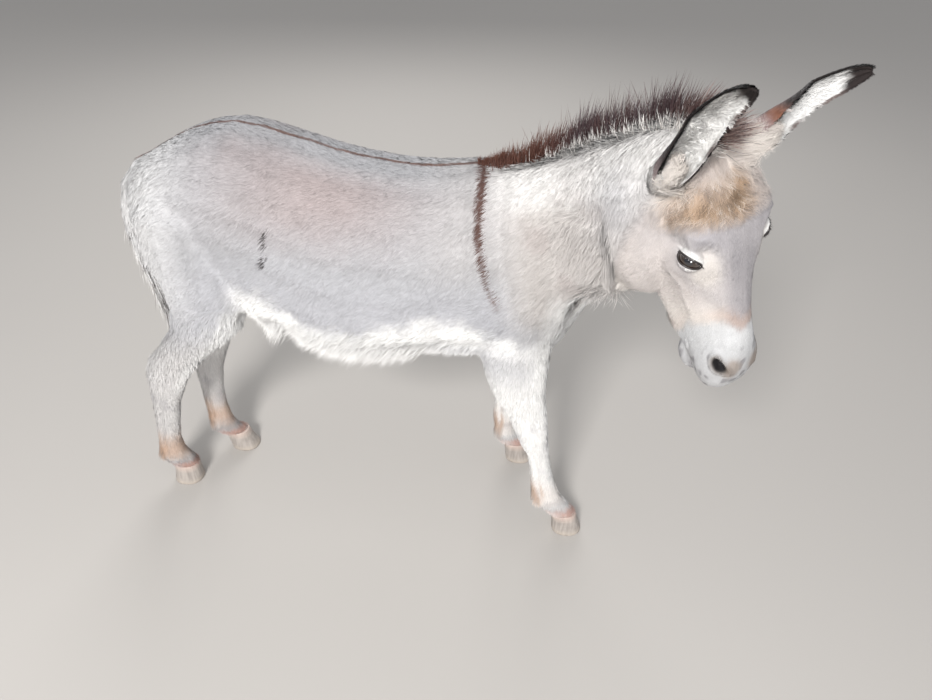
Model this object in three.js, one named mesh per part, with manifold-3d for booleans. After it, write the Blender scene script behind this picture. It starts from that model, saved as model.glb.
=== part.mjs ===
// A donkey standing at rest, life size, with its head turned to its right and lowered.
// The animal faces +X, its left side is +Y and up is +Z. The group's origin is on the ground, below the
// middle of the animal. Every part is a solid with the true outline of the coat, and neighbouring parts
// are kept a hair's breadth apart.
import * as THREE from "three";
import { mergeVertices } from "three/addons/utils/BufferGeometryUtils.js";
import Module from "manifold-3d";

const wasm = await Module();
wasm.setup();

// ---------------------------------------------------------------- driving sizes, in millimetres
const GAP = 0.6; // kept between neighbouring parts
const EYE_GAP = 1.6; // kept round an eye
const FINENESS = 0.12; // edges and corners smaller than this are dropped
const CORONET = 58; // height of the hair line above the hoof
const EYE_RADIUS = 18;
const EAR_LENGTH = 228;
const EAR_HALF_WIDTH = 30;
const EAR_SHELL = 9; // thickness of an ear with its hair

// The head has a frame of its own: +X runs from the poll down the face, +Y to its left, +Z out of the brow.
const POLL = new THREE.Vector3(634, -251, 1100);
const HEAD_TURN = new THREE.Euler(0.407, 1.179, -0.5, "ZYX"); // tilt, nod and turn to the right

// ---------------------------------------------------------------- slices and lofts
// A body part is a skin over slices. A slice is an oval that reaches from one named edge of the part to the
// other, such as crest and keel. Its row holds the two edge points, the oval's half width, how far from
// the first edge it is widest, as a share, how square it is before and after that: 1 is an ellipse, less
// is squarer and more is pinched.

/** The value at time t of a smooth curve through the numbers p0 to p3, from p1 to p2. */
function glide(p0, p1, p2, p3, t) {
  const slope1 = (p2 - p0) / 2;
  const slope2 = (p3 - p1) / 2;
  const bend = 3 * (p2 - p1) - 2 * slope1 - slope2;
  const twist = 2 * (p1 - p2) + slope1 + slope2;
  return p1 + t * (slope1 + t * (bend + t * twist));
}

/** Rows of slices made denser: `steps` rows for each pair, gliding smoothly through them. */
function denser(rows, steps) {
  const flat = rows.map(([first, last, half, level = 0.5, upper = 1, lower = upper]) => [
    ...first,
    ...last,
    half,
    level,
    upper,
    lower,
  ]);
  const row = (i) => flat[Math.min(Math.max(i, 0), flat.length - 1)];
  const out = [];
  for (let i = 0; i < flat.length - 1; i++)
    for (let k = 0; k < steps; k++)
      out.push(row(i).map((_, n) => glide(row(i - 1)[n], row(i)[n], row(i + 1)[n], row(i + 2)[n], k / steps)));
  out.push(row(flat.length - 1));
  return out.map((n) => ({
    first: new THREE.Vector3(n[0], n[1], n[2]),
    last: new THREE.Vector3(n[3], n[4], n[5]),
    half: n[6],
    level: n[7],
    upper: n[8],
    lower: n[9],
  }));
}

/** A geometry with every corner pushed out along its normal. */
function grown(geometry, by) {
  geometry.computeVertexNormals();
  const { position, normal } = geometry.attributes;
  for (let i = 0; i < position.count * 3; i++) position.array[i] += by * normal.array[i];
  return geometry;
}

/** A closed skin over slices, with `sides` points round each slice, pushed out by `grow`. */
function loft(rows, { steps = 3, sides = 20, grow = 0 } = {}) {
  const slices = denser(rows, steps);
  const centres = slices.map((s) => s.first.clone().lerp(s.last, s.level));
  const points = [];
  slices.forEach((s, i) => {
    const ahead = centres[Math.min(i + 2, centres.length - 1)];
    const behind = centres[Math.max(i - 2, 0)];
    const along = ahead.clone().sub(behind).normalize();
    const upright = s.first.clone().sub(s.last).normalize();
    const aside = new THREE.Vector3().crossVectors(upright, along).normalize();
    for (let k = 0; k < sides; k++) {
      const angle = (2 * Math.PI * k) / sides;
      const square = Math.cos(angle) > 0 ? s.upper : s.lower;
      const lift = Math.sign(Math.cos(angle)) * Math.abs(Math.cos(angle)) ** square;
      const spread = Math.sign(Math.sin(angle)) * Math.abs(Math.sin(angle)) ** square;
      const reach = (lift > 0 ? s.first : s.last).distanceTo(centres[i]);
      points.push(
        centres[i].clone().addScaledVector(upright, lift * reach).addScaledVector(aside, spread * s.half),
      );
    }
  });
  const faces = [];
  const rings = slices.length;
  for (let i = 0; i < rings - 1; i++)
    for (let k = 0; k < sides; k++) {
      const [a, b] = [i * sides + k, i * sides + ((k + 1) % sides)];
      faces.push(a, a + sides, b, b, a + sides, b + sides);
    }
  for (const [ring, turned] of [
    [0, false],
    [rings - 1, true],
  ]) {
    const pole = points.push(centres[ring].clone()) - 1;
    for (let k = 0; k < sides; k++) {
      const pair = [ring * sides + k, ring * sides + ((k + 1) % sides)];
      faces.push(...(turned ? pair.reverse() : pair), pole);
    }
  }
  const geometry = new THREE.BufferGeometry().setFromPoints(points);
  geometry.setIndex(faces);
  return grown(geometry, grow);
}

// ---------------------------------------------------------------- solids: joining and cutting
/** A closed geometry, with its faces pointing out, as a solid. */
function solid(geometry) {
  const bare = geometry.clone();
  bare.deleteAttribute("normal");
  bare.deleteAttribute("uv");
  const merged = mergeVertices(bare, 1e-3);
  const vertProperties = merged.attributes.position.array;
  const made = new wasm.Manifold(
    new wasm.Mesh({ numProp: 3, vertProperties, triVerts: new Uint32Array(merged.index.array) }),
  );
  if (made.volume() <= 0) throw new Error("a geometry is inside out");
  return made;
}

/** The geometry of a solid, flat shaded, keeping only its largest body. */
function geometryOf(shape) {
  const largest = shape.simplify(FINENESS).decompose().sort((a, b) => b.volume() - a.volume())[0];
  const mesh = largest.getMesh();
  const position = new Float32Array(mesh.numVert * 3);
  for (let i = 0; i < mesh.numVert; i++)
    position.set(mesh.vertProperties.subarray(i * mesh.numProp, i * mesh.numProp + 3), i * 3);
  const geometry = new THREE.BufferGeometry();
  geometry.setAttribute("position", new THREE.BufferAttribute(position, 3));
  geometry.setIndex(new THREE.BufferAttribute(mesh.triVerts, 1));
  const flat = geometry.toNonIndexed();
  flat.computeVertexNormals();
  return flat;
}

/** Parts a solid at a plane through `point`: [the side that `normal` points to, the other side]. */
function part(shape, point, normal) {
  const n = new THREE.Vector3(...normal).normalize();
  const offset = n.dot(new THREE.Vector3(...point));
  return [
    shape.trimByPlane(n.toArray(), offset + GAP / 2),
    shape.trimByPlane(n.clone().negate().toArray(), -offset + GAP / 2),
  ];
}

/** An ellipsoid solid with the given half sizes, turned and moved into place. */
function ellipsoid(radii, at, turn = [0, 0, 0], [around, down] = [12, 6]) {
  const geometry = new THREE.SphereGeometry(1, around, down);
  geometry.scale(...radii);
  geometry.applyQuaternion(new THREE.Quaternion().setFromEuler(new THREE.Euler(...turn)));
  geometry.translate(...at);
  return solid(geometry);
}

// ---------------------------------------------------------------- trunk and neck
// Slices from the buttocks to the throat: back point, belly point, half width, level, squareness.
const TORSO = [
  [[-512, 0, 812], [-512, 0, 772], 22],
  [[-504, 0, 842], [-502, 0, 700], 84, 0.5, 0.95],
  [[-476, 0, 874], [-474, 0, 640], 122, 0.5, 0.92],
  [[-420, 0, 910], [-420, 0, 605], 148, 0.48, 0.9],
  [[-340, 0, 950], [-340, 0, 578], 168, 0.48, 0.9],
  [[-250, 0, 967], [-250, 0, 536], 178, 0.5, 0.9],
  [[-150, 0, 951], [-150, 0, 480], 182, 0.54, 0.92],
  [[-50, 0, 927], [-50, 0, 452], 192, 0.57, 0.94],
  [[60, 0, 912], [60, 0, 462], 194, 0.58, 0.95],
  [[150, 0, 912], [160, 0, 484], 184, 0.58, 0.95],
  [[235, 0, 924], [275, 0, 492], 166, 0.58, 0.95],
  [[302, -1, 927], [412, -6, 478], 148, 0.58, 0.95],
  [[408, -36, 975], [474, -50, 634], 115, 0.55, 0.95],
  [[462, -78, 1014], [498, -84, 692], 97, 0.53, 0.95],
  [[512, -138, 1056], [528, -132, 738], 88, 0.52, 0.95],
  [[556, -198, 1098], [560, -172, 772], 86, 0.5, 0.95],
  [[588, -236, 1112], [602, -205, 815], 80, 0.5, 0.95],
  [[604, -250, 1090], [636, -238, 890], 52, 0.5, 0.95],
];
const TORSO_STEPS = 2;
const TORSO_SIDES = 22;
const NECK_BASE = { point: [395, -8, 740], normal: [0.9, -0.12, 0.3] };

const torso = solid(loft(TORSO, { steps: TORSO_STEPS, sides: TORSO_SIDES }));
const torsoRoom = solid(loft(TORSO, { steps: TORSO_STEPS, sides: TORSO_SIDES, grow: GAP }));

// ---------------------------------------------------------------- head, in its own frame
// Slices from the back of the skull to the lips: face point, jaw point, half width, level, squareness.
const HEAD = [
  [[-27, 0, -27], [-27, 0, -90], 27],
  [[-9, 0, -2], [0, 0, -146], 60, 0.45, 0.95, 1.1],
  [[27, 0, 11], [40, 0, -188], 73, 0.34, 0.92, 1.2],
  [[67, 0, 20], [85, 0, -209], 83, 0.24, 0.94, 1.25],
  [[112, 0, 20], [130, 0, -219], 90, 0.17, 0.97, 1.3],
  [[150, 0, 15], [175, 0, -219], 95, 0.15, 1, 1.25],
  [[176, 0, 10], [198, 0, -219], 93, 0.17, 1, 1.2],
  [[202, 0, 5], [222, 0, -217], 74, 0.24, 1, 1.1],
  [[242, 0, -1], [256, 0, -215], 56, 0.36, 0.97, 1],
  [[287, 0, -6], [296, 0, -205], 47, 0.46, 0.95],
  [[328, 0, -10], [332, 0, -184], 47, 0.5, 0.92],
  [[359, 0, -16], [359, 0, -154], 50, 0.48, 0.9],
  [[391, 0, -26], [388, 0, -137], 53, 0.46, 0.9],
  [[418, 0, -40], [413, 0, -128], 50, 0.48, 0.9],
  [[438, 0, -58], [433, 0, -118], 41, 0.5, 0.9],
  [[450, 0, -77], [446, 0, -104], 22, 0.5, 0.95],
];
const MUZZLE_LINE = { point: [332, 0, -70], normal: [1, 0, 0.1] };
const EYE_AT = [161, 77, -29];
const SOCKET = { radii: [28, 22, 20], at: [161, 99, -19] };
const NOSTRIL = { radii: [17, 9, 8], at: [406, 37, -54] };
// The lower lip and chin hang below the mouth, from the bars of the jaw to the front.
const LOWER_LIP = [
  [[344, 0, -122], [350, 0, -146], 24],
  [[362, 0, -120], [368, 0, -164], 36],
  [[391, 0, -118], [393, 0, -170], 40],
  [[413, 0, -116], [414, 0, -162], 34],
  [[428, 0, -120], [427, 0, -142], 16],
];

const mirrored = ([x, y, z], side) => [x, y * side, z];
const eyeRoom = (side) => ellipsoid(Array(3).fill(EYE_RADIUS + EYE_GAP), mirrored(EYE_AT, side));
const socket = (side) => ellipsoid(SOCKET.radii, mirrored(SOCKET.at, side));
const nostril = (side) => ellipsoid(NOSTRIL.radii, mirrored(NOSTRIL.at, side), [0, 0.9, side * 0.35]);

const skull = solid(loft(HEAD, { sides: 18, steps: 2 }));
const lowerLip = solid(loft(LOWER_LIP, { sides: 12, steps: 2 }));
const lipRoom = solid(loft(LOWER_LIP, { sides: 12, steps: 2, grow: GAP }));
const [muzzleWhole, headWhole] = part(skull, MUZZLE_LINE.point, MUZZLE_LINE.normal);
const sides = { left: 1, right: -1 };
const bothSides = (shape, cut) => Object.values(sides).reduce((rest, side) => rest.subtract(cut(side)), shape);

// ---------------------------------------------------------------- ears
const EAR_SWEEP = 20; // how far an ear curves forward along its length
const swell = (t) => Math.sqrt(Math.max(0, 1 - t ** 2.4)); // from the full width to the tip

/**
 * An ear: a leaf rolled into a cup. Across the leaf the shell follows an arc that is nearly closed at the
 * root and opens towards the tip, and along it the width swells and then tapers to the tip.
 */
function ear({ length, shell, grow = 0, along = 10, across = 8 }) {
  const width = (u) => 3 + (EAR_HALF_WIDTH - 3) * (u < 0.4 ? 1 - 1.1 * (u - 0.4) ** 2 : swell((u - 0.4) / 0.6));
  const wrap = (u) => THREE.MathUtils.lerp(2.4, 0.8, Math.min(1, u * 1.15));
  const middle = (u, v, out) => {
    const radius = width(u) / Math.sin(Math.min(wrap(u), Math.PI / 2)) + out;
    const angle = wrap(u) * v;
    return new THREE.Vector3(
      width(u) * 0.6 - Math.cos(angle) * radius + EAR_SWEEP * u * u,
      Math.sin(angle) * radius,
      length * (u - 0.05 * v * v * (1 - u)),
    );
  };
  const points = [];
  const grid = (out) => {
    const start = points.length;
    for (let i = 0; i <= along; i++)
      for (let k = 0; k <= across; k++) points.push(middle(i / along, (2 * k) / across - 1, out));
    return start;
  };
  const outer = grid(shell / 2);
  const inner = grid(-shell / 2);
  const at = (start, i, k) => start + i * (across + 1) + k;
  const faces = [];
  const quad = (a, b, c, d) => faces.push(a, c, b, a, d, c);
  for (let i = 0; i < along; i++)
    for (let k = 0; k < across; k++) {
      quad(at(outer, i, k), at(outer, i, k + 1), at(outer, i + 1, k + 1), at(outer, i + 1, k));
      quad(at(inner, i, k), at(inner, i + 1, k), at(inner, i + 1, k + 1), at(inner, i, k + 1));
    }
  for (let i = 0; i < along; i++) {
    quad(at(outer, i, 0), at(outer, i + 1, 0), at(inner, i + 1, 0), at(inner, i, 0));
    quad(at(outer, i, across), at(inner, i, across), at(inner, i + 1, across), at(outer, i + 1, across));
  }
  for (let k = 0; k < across; k++) {
    quad(at(outer, 0, k), at(inner, 0, k), at(inner, 0, k + 1), at(outer, 0, k + 1));
    quad(at(outer, along, k), at(outer, along, k + 1), at(inner, along, k + 1), at(inner, along, k));
  }
  const geometry = new THREE.BufferGeometry().setFromPoints(points);
  geometry.setIndex(faces);
  return grown(geometry, grow);
}

// Where each ear stands in the head's frame, the way it points and the way its cup opens.
const EARS = {
  left: { root: [14, 74, -18], points: [-0.147, 0.984, 0.098], opens: [0.454, -0.021, 0.891] },
  right: { root: [14, -84, -30], points: [-0.52, -0.097, 0.848], opens: [0.794, -0.419, 0.44] },
};

/** The turn that stands an ear's length along `points`, with the cup facing `opens`. */
function stand({ points, opens }) {
  const z = new THREE.Vector3(...points).normalize();
  const y = new THREE.Vector3().crossVectors(z, new THREE.Vector3(...opens)).normalize();
  const x = new THREE.Vector3().crossVectors(y, z);
  return new THREE.Matrix4().makeBasis(x, y, z);
}

// ---------------------------------------------------------------- legs
// Slices down each leg: front point, back point, half width, level, squareness.
const FORE_RIGHT = [
  [[400, -70, 700], [262, -76, 700], 50],
  [[420, -86, 630], [258, -96, 620], 60],
  [[425, -96, 566], [264, -108, 545], 58],
  [[422, -106, 505], [278, -113, 492], 50],
  [[422, -112, 448], [298, -114, 440], 42],
  [[430, -114, 390], [334, -115, 385], 36],
  [[439, -115, 335], [356, -115, 330], 34],
  [[442, -115, 300], [370, -115, 296], 33],
  [[447, -115, 265], [391, -115, 260], 28],
  [[455, -115, 220], [400, -115, 216], 24],
  [[470, -115, 165], [407, -116, 155], 25],
  [[486, -114, 124], [412, -115, 102], 29],
  [[508, -110, 94], [440, -110, 74], 27],
  [[530, -107, 64], [464, -107, 50], 29],
  [[540, -105, 34], [468, -105, 30], 31],
];
const FORE_LEFT = [
  [[396, 70, 700], [258, 76, 700], 50],
  [[400, 88, 630], [250, 96, 620], 60],
  [[394, 100, 570], [252, 106, 545], 58],
  [[386, 108, 510], [266, 110, 492], 50],
  [[377, 112, 450], [278, 114, 440], 42],
  [[369, 114, 390], [286, 115, 385], 36],
  [[364, 115, 335], [286, 115, 330], 34],
  [[361, 116, 300], [288, 116, 296], 33],
  [[351, 116, 265], [293, 116, 260], 28],
  [[346, 117, 220], [288, 117, 216], 24],
  [[347, 118, 165], [286, 118, 155], 25],
  [[352, 119, 118], [292, 119, 86], 29],
  [[366, 121, 88], [304, 121, 64], 27],
  [[386, 123, 62], [320, 123, 46], 29],
  [[396, 124, 34], [324, 124, 30], 31],
];
const HIND_RIGHT = [
  [[-240, -80, 872], [-430, -70, 862], 62],
  [[-212, -100, 790], [-486, -84, 800], 84, 0.5, 0.95],
  [[-206, -112, 700], [-480, -94, 715], 86, 0.5, 0.95],
  [[-224, -118, 620], [-440, -104, 640], 76, 0.5, 0.95],
  [[-252, -121, 558], [-432, -110, 580], 64],
  [[-304, -122, 500], [-444, -115, 518], 50],
  [[-362, -122, 448], [-484, -118, 462], 38],
  [[-404, -122, 402], [-522, -121, 418], 34],
  [[-428, -122, 366], [-536, -122, 378], 33],
  [[-448, -122, 325], [-538, -123, 335], 30],
  [[-468, -122, 282], [-542, -125, 285], 27],
  [[-482, -124, 218], [-548, -127, 215], 25],
  [[-493, -125, 160], [-556, -128, 155], 25],
  [[-490, -124, 122], [-570, -128, 100], 29],
  [[-478, -118, 92], [-554, -120, 72], 27],
  [[-472, -111, 64], [-544, -111, 52], 30],
  [[-468, -108, 34], [-548, -108, 30], 31],
];
const HIND_LEFT = [
  [[-240, 80, 872], [-430, 70, 862], 62],
  [[-208, 98, 790], [-486, 84, 800], 84, 0.5, 0.95],
  [[-200, 106, 700], [-478, 90, 715], 86, 0.5, 0.95],
  [[-216, 104, 620], [-446, 88, 640], 76, 0.5, 0.95],
  [[-240, 96, 558], [-438, 78, 580], 62],
  [[-286, 84, 500], [-448, 66, 518], 48],
  [[-336, 72, 448], [-470, 56, 462], 38],
  [[-372, 60, 402], [-502, 46, 418], 34],
  [[-394, 50, 366], [-512, 38, 378], 33],
  [[-410, 42, 325], [-508, 33, 335], 30],
  [[-424, 34, 282], [-506, 28, 285], 27],
  [[-433, 27, 218], [-498, 22, 215], 25],
  [[-431, 20, 160], [-494, 16, 150], 25],
  [[-420, 16, 112], [-492, 10, 82], 29],
  [[-408, 24, 82], [-474, 18, 58], 27],
  [[-394, 34, 60], [-460, 30, 46], 29],
  [[-386, 40, 34], [-456, 38, 30], 31],
];
// The height of the joint between the upper and lower leg, where the foot points and how far the sole
// lies ahead of the hair line.
const LEGS = {
  foreleg_right: { rows: FORE_RIGHT, joint: 300, upper: "forearm", heading: 0, ahead: 14 },
  foreleg_left: { rows: FORE_LEFT, joint: 300, upper: "forearm", heading: 4, ahead: 14 },
  hind_leg_right: { rows: HIND_RIGHT, joint: 372, upper: "thigh", heading: 8, ahead: -3 },
  hind_leg_left: { rows: HIND_LEFT, joint: 372, upper: "thigh", heading: 12, ahead: 18 },
};

/** A hoof under the last slices of a leg: walls that flare down to a flat sole, toe forward. */
function hoof({ rows, heading, ahead }) {
  const [front, back] = rows[rows.length - 2];
  const middle = new THREE.Vector3(...front).lerp(new THREE.Vector3(...back), 0.5);
  const levels = [
    { z: CORONET + 2, shift: 0, long: 33, half: 27 },
    { z: CORONET * 0.5, shift: 0.5, long: 36, half: 30 },
    { z: 4, shift: 0.95, long: 39, half: 33.5 },
    { z: 0, shift: 1, long: 38, half: 32.5 },
  ];
  const slices = levels.map(({ z, shift, long, half }) => [
    [long + ahead * shift, 0, z],
    [-long + ahead * shift, 0, z],
    half,
    0.5,
    0.88,
  ]);
  const geometry = loft(slices, { sides: 18, steps: 1 });
  geometry.rotateZ(THREE.MathUtils.degToRad(heading));
  geometry.translate(middle.x, middle.y, 0);
  return solid(geometry);
}

// ---------------------------------------------------------------- tail and mane
// Slices from the root of the tail to the end of its hair: outer point, inner point, half width.
const TAIL = [
  [[-436, 0, 900], [-450, 0, 846], 24],
  [[-492, 0, 872], [-476, 0, 824], 27],
  [[-540, 0, 818], [-500, 0, 796], 26],
  [[-563, 0, 750], [-521, 0, 742], 23],
  [[-567, 0, 690], [-525, 0, 688], 21],
  [[-556, -2, 640], [-514, -2, 638], 22],
  [[-538, -6, 585], [-496, -6, 583], 24],
  [[-518, -14, 520], [-478, -14, 518], 24],
  [[-498, -26, 455], [-462, -26, 453], 20],
  [[-482, -34, 410], [-462, -34, 409], 11],
  [[-474, -36, 385], [-468, -36, 384], 3],
];
const TAIL_TUFT_LEVEL = 606;

// How far the mane stands above each crest point of the neck, from the withers to the poll.
const MANE_FIRST = 10;
const MANE_HEIGHTS = [12, 26, 70, 80, 72, 68, 74, 90];

/** The mane stands on the crest: slices whose first edge is the hair tips and whose last is the roots. */
function maneRows() {
  return TORSO.slice(MANE_FIRST).map(([[x, y, z]], i) => {
    const height = MANE_HEIGHTS[i];
    return [[x + 0.12 * height, y - 0.08 * height, z + height], [x, y, z - 16], 15 + i, 0.75, 1.1];
  });
}

// ---------------------------------------------------------------- the scene graph
const COLOURS = {
  grey_coat: [0xc9c3c0, 0.9],
  white_coat: [0xf0eeea, 0.9],
  white_muzzle: [0xe6e4e2, 0.85],
  mane_hair: [0x5a3b33, 0.9],
  ear_coat: [0x8a7a74, 0.9],
  hoof_horn: [0xb3aaa0, 0.6],
  eye_dark: [0x140f0d, 0.15],
};

function mesh(name, geometry, slot) {
  const [color, roughness] = COLOURS[slot];
  const made = new THREE.Mesh(geometry, new THREE.MeshStandardMaterial({ color, roughness, metalness: 0 }));
  made.name = name;
  return made;
}

const headGroup = new THREE.Group();
headGroup.position.copy(POLL);
headGroup.rotation.copy(HEAD_TURN);
headGroup.updateMatrix();

/** The solid of one ear in the head's frame. */
function earSolid(place, grow) {
  const geometry = ear({ length: EAR_LENGTH, shell: EAR_SHELL, grow });
  geometry.applyMatrix4(stand(place));
  geometry.translate(...place.root);
  return solid(geometry);
}
const skullRoom = solid(loft(HEAD, { sides: 18, steps: 2, grow: GAP }));
const head = bothSides(bothSides(headWhole.subtract(lipRoom), eyeRoom), socket);
const muzzle = bothSides(muzzleWhole.subtract(lipRoom), nostril);
headGroup.add(mesh("head", geometryOf(head), "grey_coat"));
headGroup.add(mesh("muzzle", geometryOf(muzzle), "white_muzzle"));
headGroup.add(mesh("lower_lip", geometryOf(lowerLip), "white_muzzle"));

// The neck and the mane stop short of the head, so the head's room is carried into the body's frame.
const toBody = (shape) => shape.transform(headGroup.matrix.toArray());
const headRoom = toBody(skullRoom);
for (const [side, sign] of Object.entries(sides)) {
  headGroup.add(mesh(`ear_${side}`, geometryOf(earSolid(EARS[side], 0).subtract(skullRoom)), "ear_coat"));
  const ball = new THREE.SphereGeometry(EYE_RADIUS, 14, 9);
  const eye = mesh(`eye_${side}`, ball, "eye_dark");
  eye.position.set(...mirrored(EYE_AT, sign));
  headGroup.add(eye);
}

const donkey = new THREE.Group();
const [neckWhole, trunk] = part(torso, NECK_BASE.point, NECK_BASE.normal);
const maneWhole = solid(loft(maneRows(), { sides: 8, steps: 2 }));
const earRooms = Object.values(EARS).map((place) => toBody(earSolid(place, GAP)));
const clearOfHead = (shape) => earRooms.reduce((rest, room) => rest.subtract(room), shape.subtract(headRoom));
donkey.add(mesh("trunk", geometryOf(trunk), "grey_coat"));
donkey.add(mesh("neck", geometryOf(clearOfHead(neckWhole)), "grey_coat"));
donkey.add(mesh("mane", geometryOf(clearOfHead(maneWhole.subtract(torsoRoom))), "mane_hair"));
donkey.add(headGroup);

const [dock, tuft] = part(solid(loft(TAIL, { sides: 12, steps: 1 })), [0, 0, TAIL_TUFT_LEVEL], [0, 0, 1]);
for (const [name, leg] of Object.entries(LEGS)) {
  const whole = solid(loft(leg.rows, { sides: 14, steps: 1 })).subtract(torsoRoom);
  const [top, rest] = part(whole, [0, 0, leg.joint], [0, 0, 1]);
  const [cannon] = part(rest, [0, 0, CORONET], [0, 0, 1]);
  donkey.add(mesh(`${name}_${leg.upper}`, geometryOf(top), "grey_coat"));
  donkey.add(mesh(`${name}_cannon`, geometryOf(cannon), "white_coat"));
  const [, horn] = part(hoof(leg), [0, 0, CORONET], [0, 0, 1]);
  donkey.add(mesh(`${name}_hoof`, geometryOf(horn), "hoof_horn"));
}
const thighRooms = [HIND_LEFT, HIND_RIGHT].map((rows) => solid(loft(rows, { sides: 14, steps: 1, grow: GAP })));
const clearTail = (shape) => thighRooms.reduce((rest, room) => rest.subtract(room), shape.subtract(torsoRoom));
donkey.add(mesh("tail_dock", geometryOf(clearTail(dock)), "grey_coat"));
donkey.add(mesh("tail_tuft", geometryOf(clearTail(tuft)), "mane_hair"));

// The origin goes to the ground below the middle of the animal.
const bounds = new THREE.Box3().setFromObject(donkey, true);
donkey.position.set(-(bounds.min.x + bounds.max.x) / 2, -(bounds.min.y + bounds.max.y) / 2, -bounds.min.z);

export default donkey;
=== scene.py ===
"""A small donkey, life size, standing with its head turned to its right and lowered.

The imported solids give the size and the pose. One smooth skin replaces the solids of flesh and lies inside
them by the depth of the coat. Over it the coat is made of thin curved blades of hair, gathered into locks
that follow the lie of the coat. Skin and hair take their colours from the same markings. Metres throughout.
"""
import math

import bmesh
import bpy
import numpy as np
from mathutils import Matrix, Vector


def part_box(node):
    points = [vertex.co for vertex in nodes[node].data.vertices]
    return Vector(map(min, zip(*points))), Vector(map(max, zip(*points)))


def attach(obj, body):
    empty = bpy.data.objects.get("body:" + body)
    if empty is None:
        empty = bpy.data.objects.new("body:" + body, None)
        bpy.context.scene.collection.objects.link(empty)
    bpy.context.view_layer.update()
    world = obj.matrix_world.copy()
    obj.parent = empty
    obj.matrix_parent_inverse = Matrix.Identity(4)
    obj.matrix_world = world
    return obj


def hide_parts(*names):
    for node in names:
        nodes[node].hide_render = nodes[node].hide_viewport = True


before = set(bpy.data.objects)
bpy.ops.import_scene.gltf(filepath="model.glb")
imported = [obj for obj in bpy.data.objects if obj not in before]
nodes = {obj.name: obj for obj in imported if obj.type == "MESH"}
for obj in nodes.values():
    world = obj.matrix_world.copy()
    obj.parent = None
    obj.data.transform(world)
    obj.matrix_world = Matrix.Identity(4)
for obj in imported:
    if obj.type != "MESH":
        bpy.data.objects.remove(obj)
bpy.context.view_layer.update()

# ---------------------------------------------------------------- driving sizes
VOXEL = 0.006  # grid on which the solids of flesh are joined
SWELL = 0.0012  # closes the thin gaps between the solids before they are joined
EYE_RADIUS = 0.020
LID = 0.0022  # thickness of an eyelid
EAR_LENGTH = 0.228
EAR_HALF_WIDTH = 0.028
EAR_SHELL = 0.005  # thickness of an ear's skin, without its hair
EAR_SWEEP = 0.020  # how far an ear's tip bends the way the ear opens
CORONET = 0.058  # height of the hair line above the ground, where the hoof begins
SIDES = {"right": -1, "left": 1}

MANE_HAIRS, TAIL_HAIRS, EAR_HAIRS, LASHES = 9500, 11000, 15000, 110  # ears and lashes: for each side

# The body's own axes: x forward, y left, z up, from a point on the ground below the middle of the trunk.
TRUNK_BEHIND = 0.512  # how far the trunk reaches behind that point
trunk_low, trunk_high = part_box("trunk")
BODY = np.array([trunk_low.x + TRUNK_BEHIND, (trunk_low.y + trunk_high.y) / 2, 0.0])

# The head's own axes start at the poll: x down the face, y to its left, z out of the brow.
POLL = np.array([0.634, -0.251, 1.100])
HEAD_TILT, HEAD_NOD, HEAD_TURN = 0.407, 1.179, -0.500


def turned(axis, angle):
    """The matrix of a turn about the x, y or z axis: the usual cosines and sines."""
    c, s = math.cos(angle), math.sin(angle)
    plain = {"x": [[1, 0, 0], [0, c, -s], [0, s, c]], "y": [[c, 0, s], [0, 1, 0], [-s, 0, c]]}
    plain["z"] = [[c, -s, 0], [s, c, 0], [0, 0, 1]]
    return np.array(plain[axis])


HEAD_AXES = turned("z", HEAD_TURN) @ turned("y", HEAD_NOD) @ turned("x", HEAD_TILT)
EYE = np.array([0.169, 0.0715, -0.034])  # centre of the left eyeball, in the head
GAZE = np.array([-0.07, 0.82, 0.57])  # the way the left eye looks
EYE_LINE = np.array([0.70, -0.37, 0.60])  # from the back corner of the left eye to the front one
NOSTRIL = np.array([0.383, 0.042, -0.046])
# Where each ear grows from the head, the way it points and the way it opens.
EARS = {
    "left": {
        "root": np.array([0.014, 0.074, -0.018]),
        "points": np.array([-0.147, 0.984, 0.098]),
        "opens": np.array([0.454, -0.021, 0.891]),
    },
    "right": {
        "root": np.array([0.014, -0.084, -0.030]),
        "points": np.array([-0.52, -0.097, 0.848]),
        "opens": np.array([0.700, -0.600, 0.395]),
    },
}


def in_head(points):
    """Points seen from the head's own axes."""
    return (points - BODY - POLL) @ HEAD_AXES


def out_of_head(local):
    """Points of the head's own axes put in their place."""
    return local @ HEAD_AXES.T + POLL + BODY


# ---------------------------------------------------------------- small maths on whole arrays
def smooth(low, high, value):
    """0 at low and 1 at high with an even S between them, 3t^2 - 2t^3; low may be the larger."""
    t = np.clip((value - low) / (high - low), 0.0, 1.0)
    return t * t * (3.0 - 2.0 * t)


def hill(value, centre, width):
    """A bell of height 1: e to the minus square of the distance over the width."""
    return np.exp(-(((value - centre) / width) ** 2))


def mound(points, centre, radii):
    """A bell in space, as wide as the radii along the three axes."""
    return np.exp(-(((points - centre) / radii) ** 2).sum(axis=1))


def unit(vectors):
    """Vectors of length 1 along the given ones."""
    return vectors / np.maximum(np.linalg.norm(vectors, axis=-1, keepdims=True), 1e-9)


def folded(points):
    """Points with their right half folded over onto the left one."""
    return np.stack([points[:, 0], np.abs(points[:, 1]), points[:, 2]], axis=1)


def blend(a, b, share):
    """From a to b by a share for each point."""
    return a + (b - a) * share[:, None]


def scatter(cells, salt):
    """A number from 0 to 1 for each whole-numbered cell, mixed from its bits, the same on every run."""
    bits = cells[..., 0] * 73856093 ^ cells[..., 1] * 19349663 ^ cells[..., 2] * 83492791 ^ salt * 40503917
    bits = bits & 0xFFFFFFFF
    bits = ((bits ^ (bits >> 15)) * 2246822519) & 0xFFFFFFFF
    bits = ((bits ^ (bits >> 13)) * 3266489917) & 0xFFFFFFFF
    return ((bits ^ (bits >> 16)) & 0xFFFFFF) / 0xFFFFFF


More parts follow.
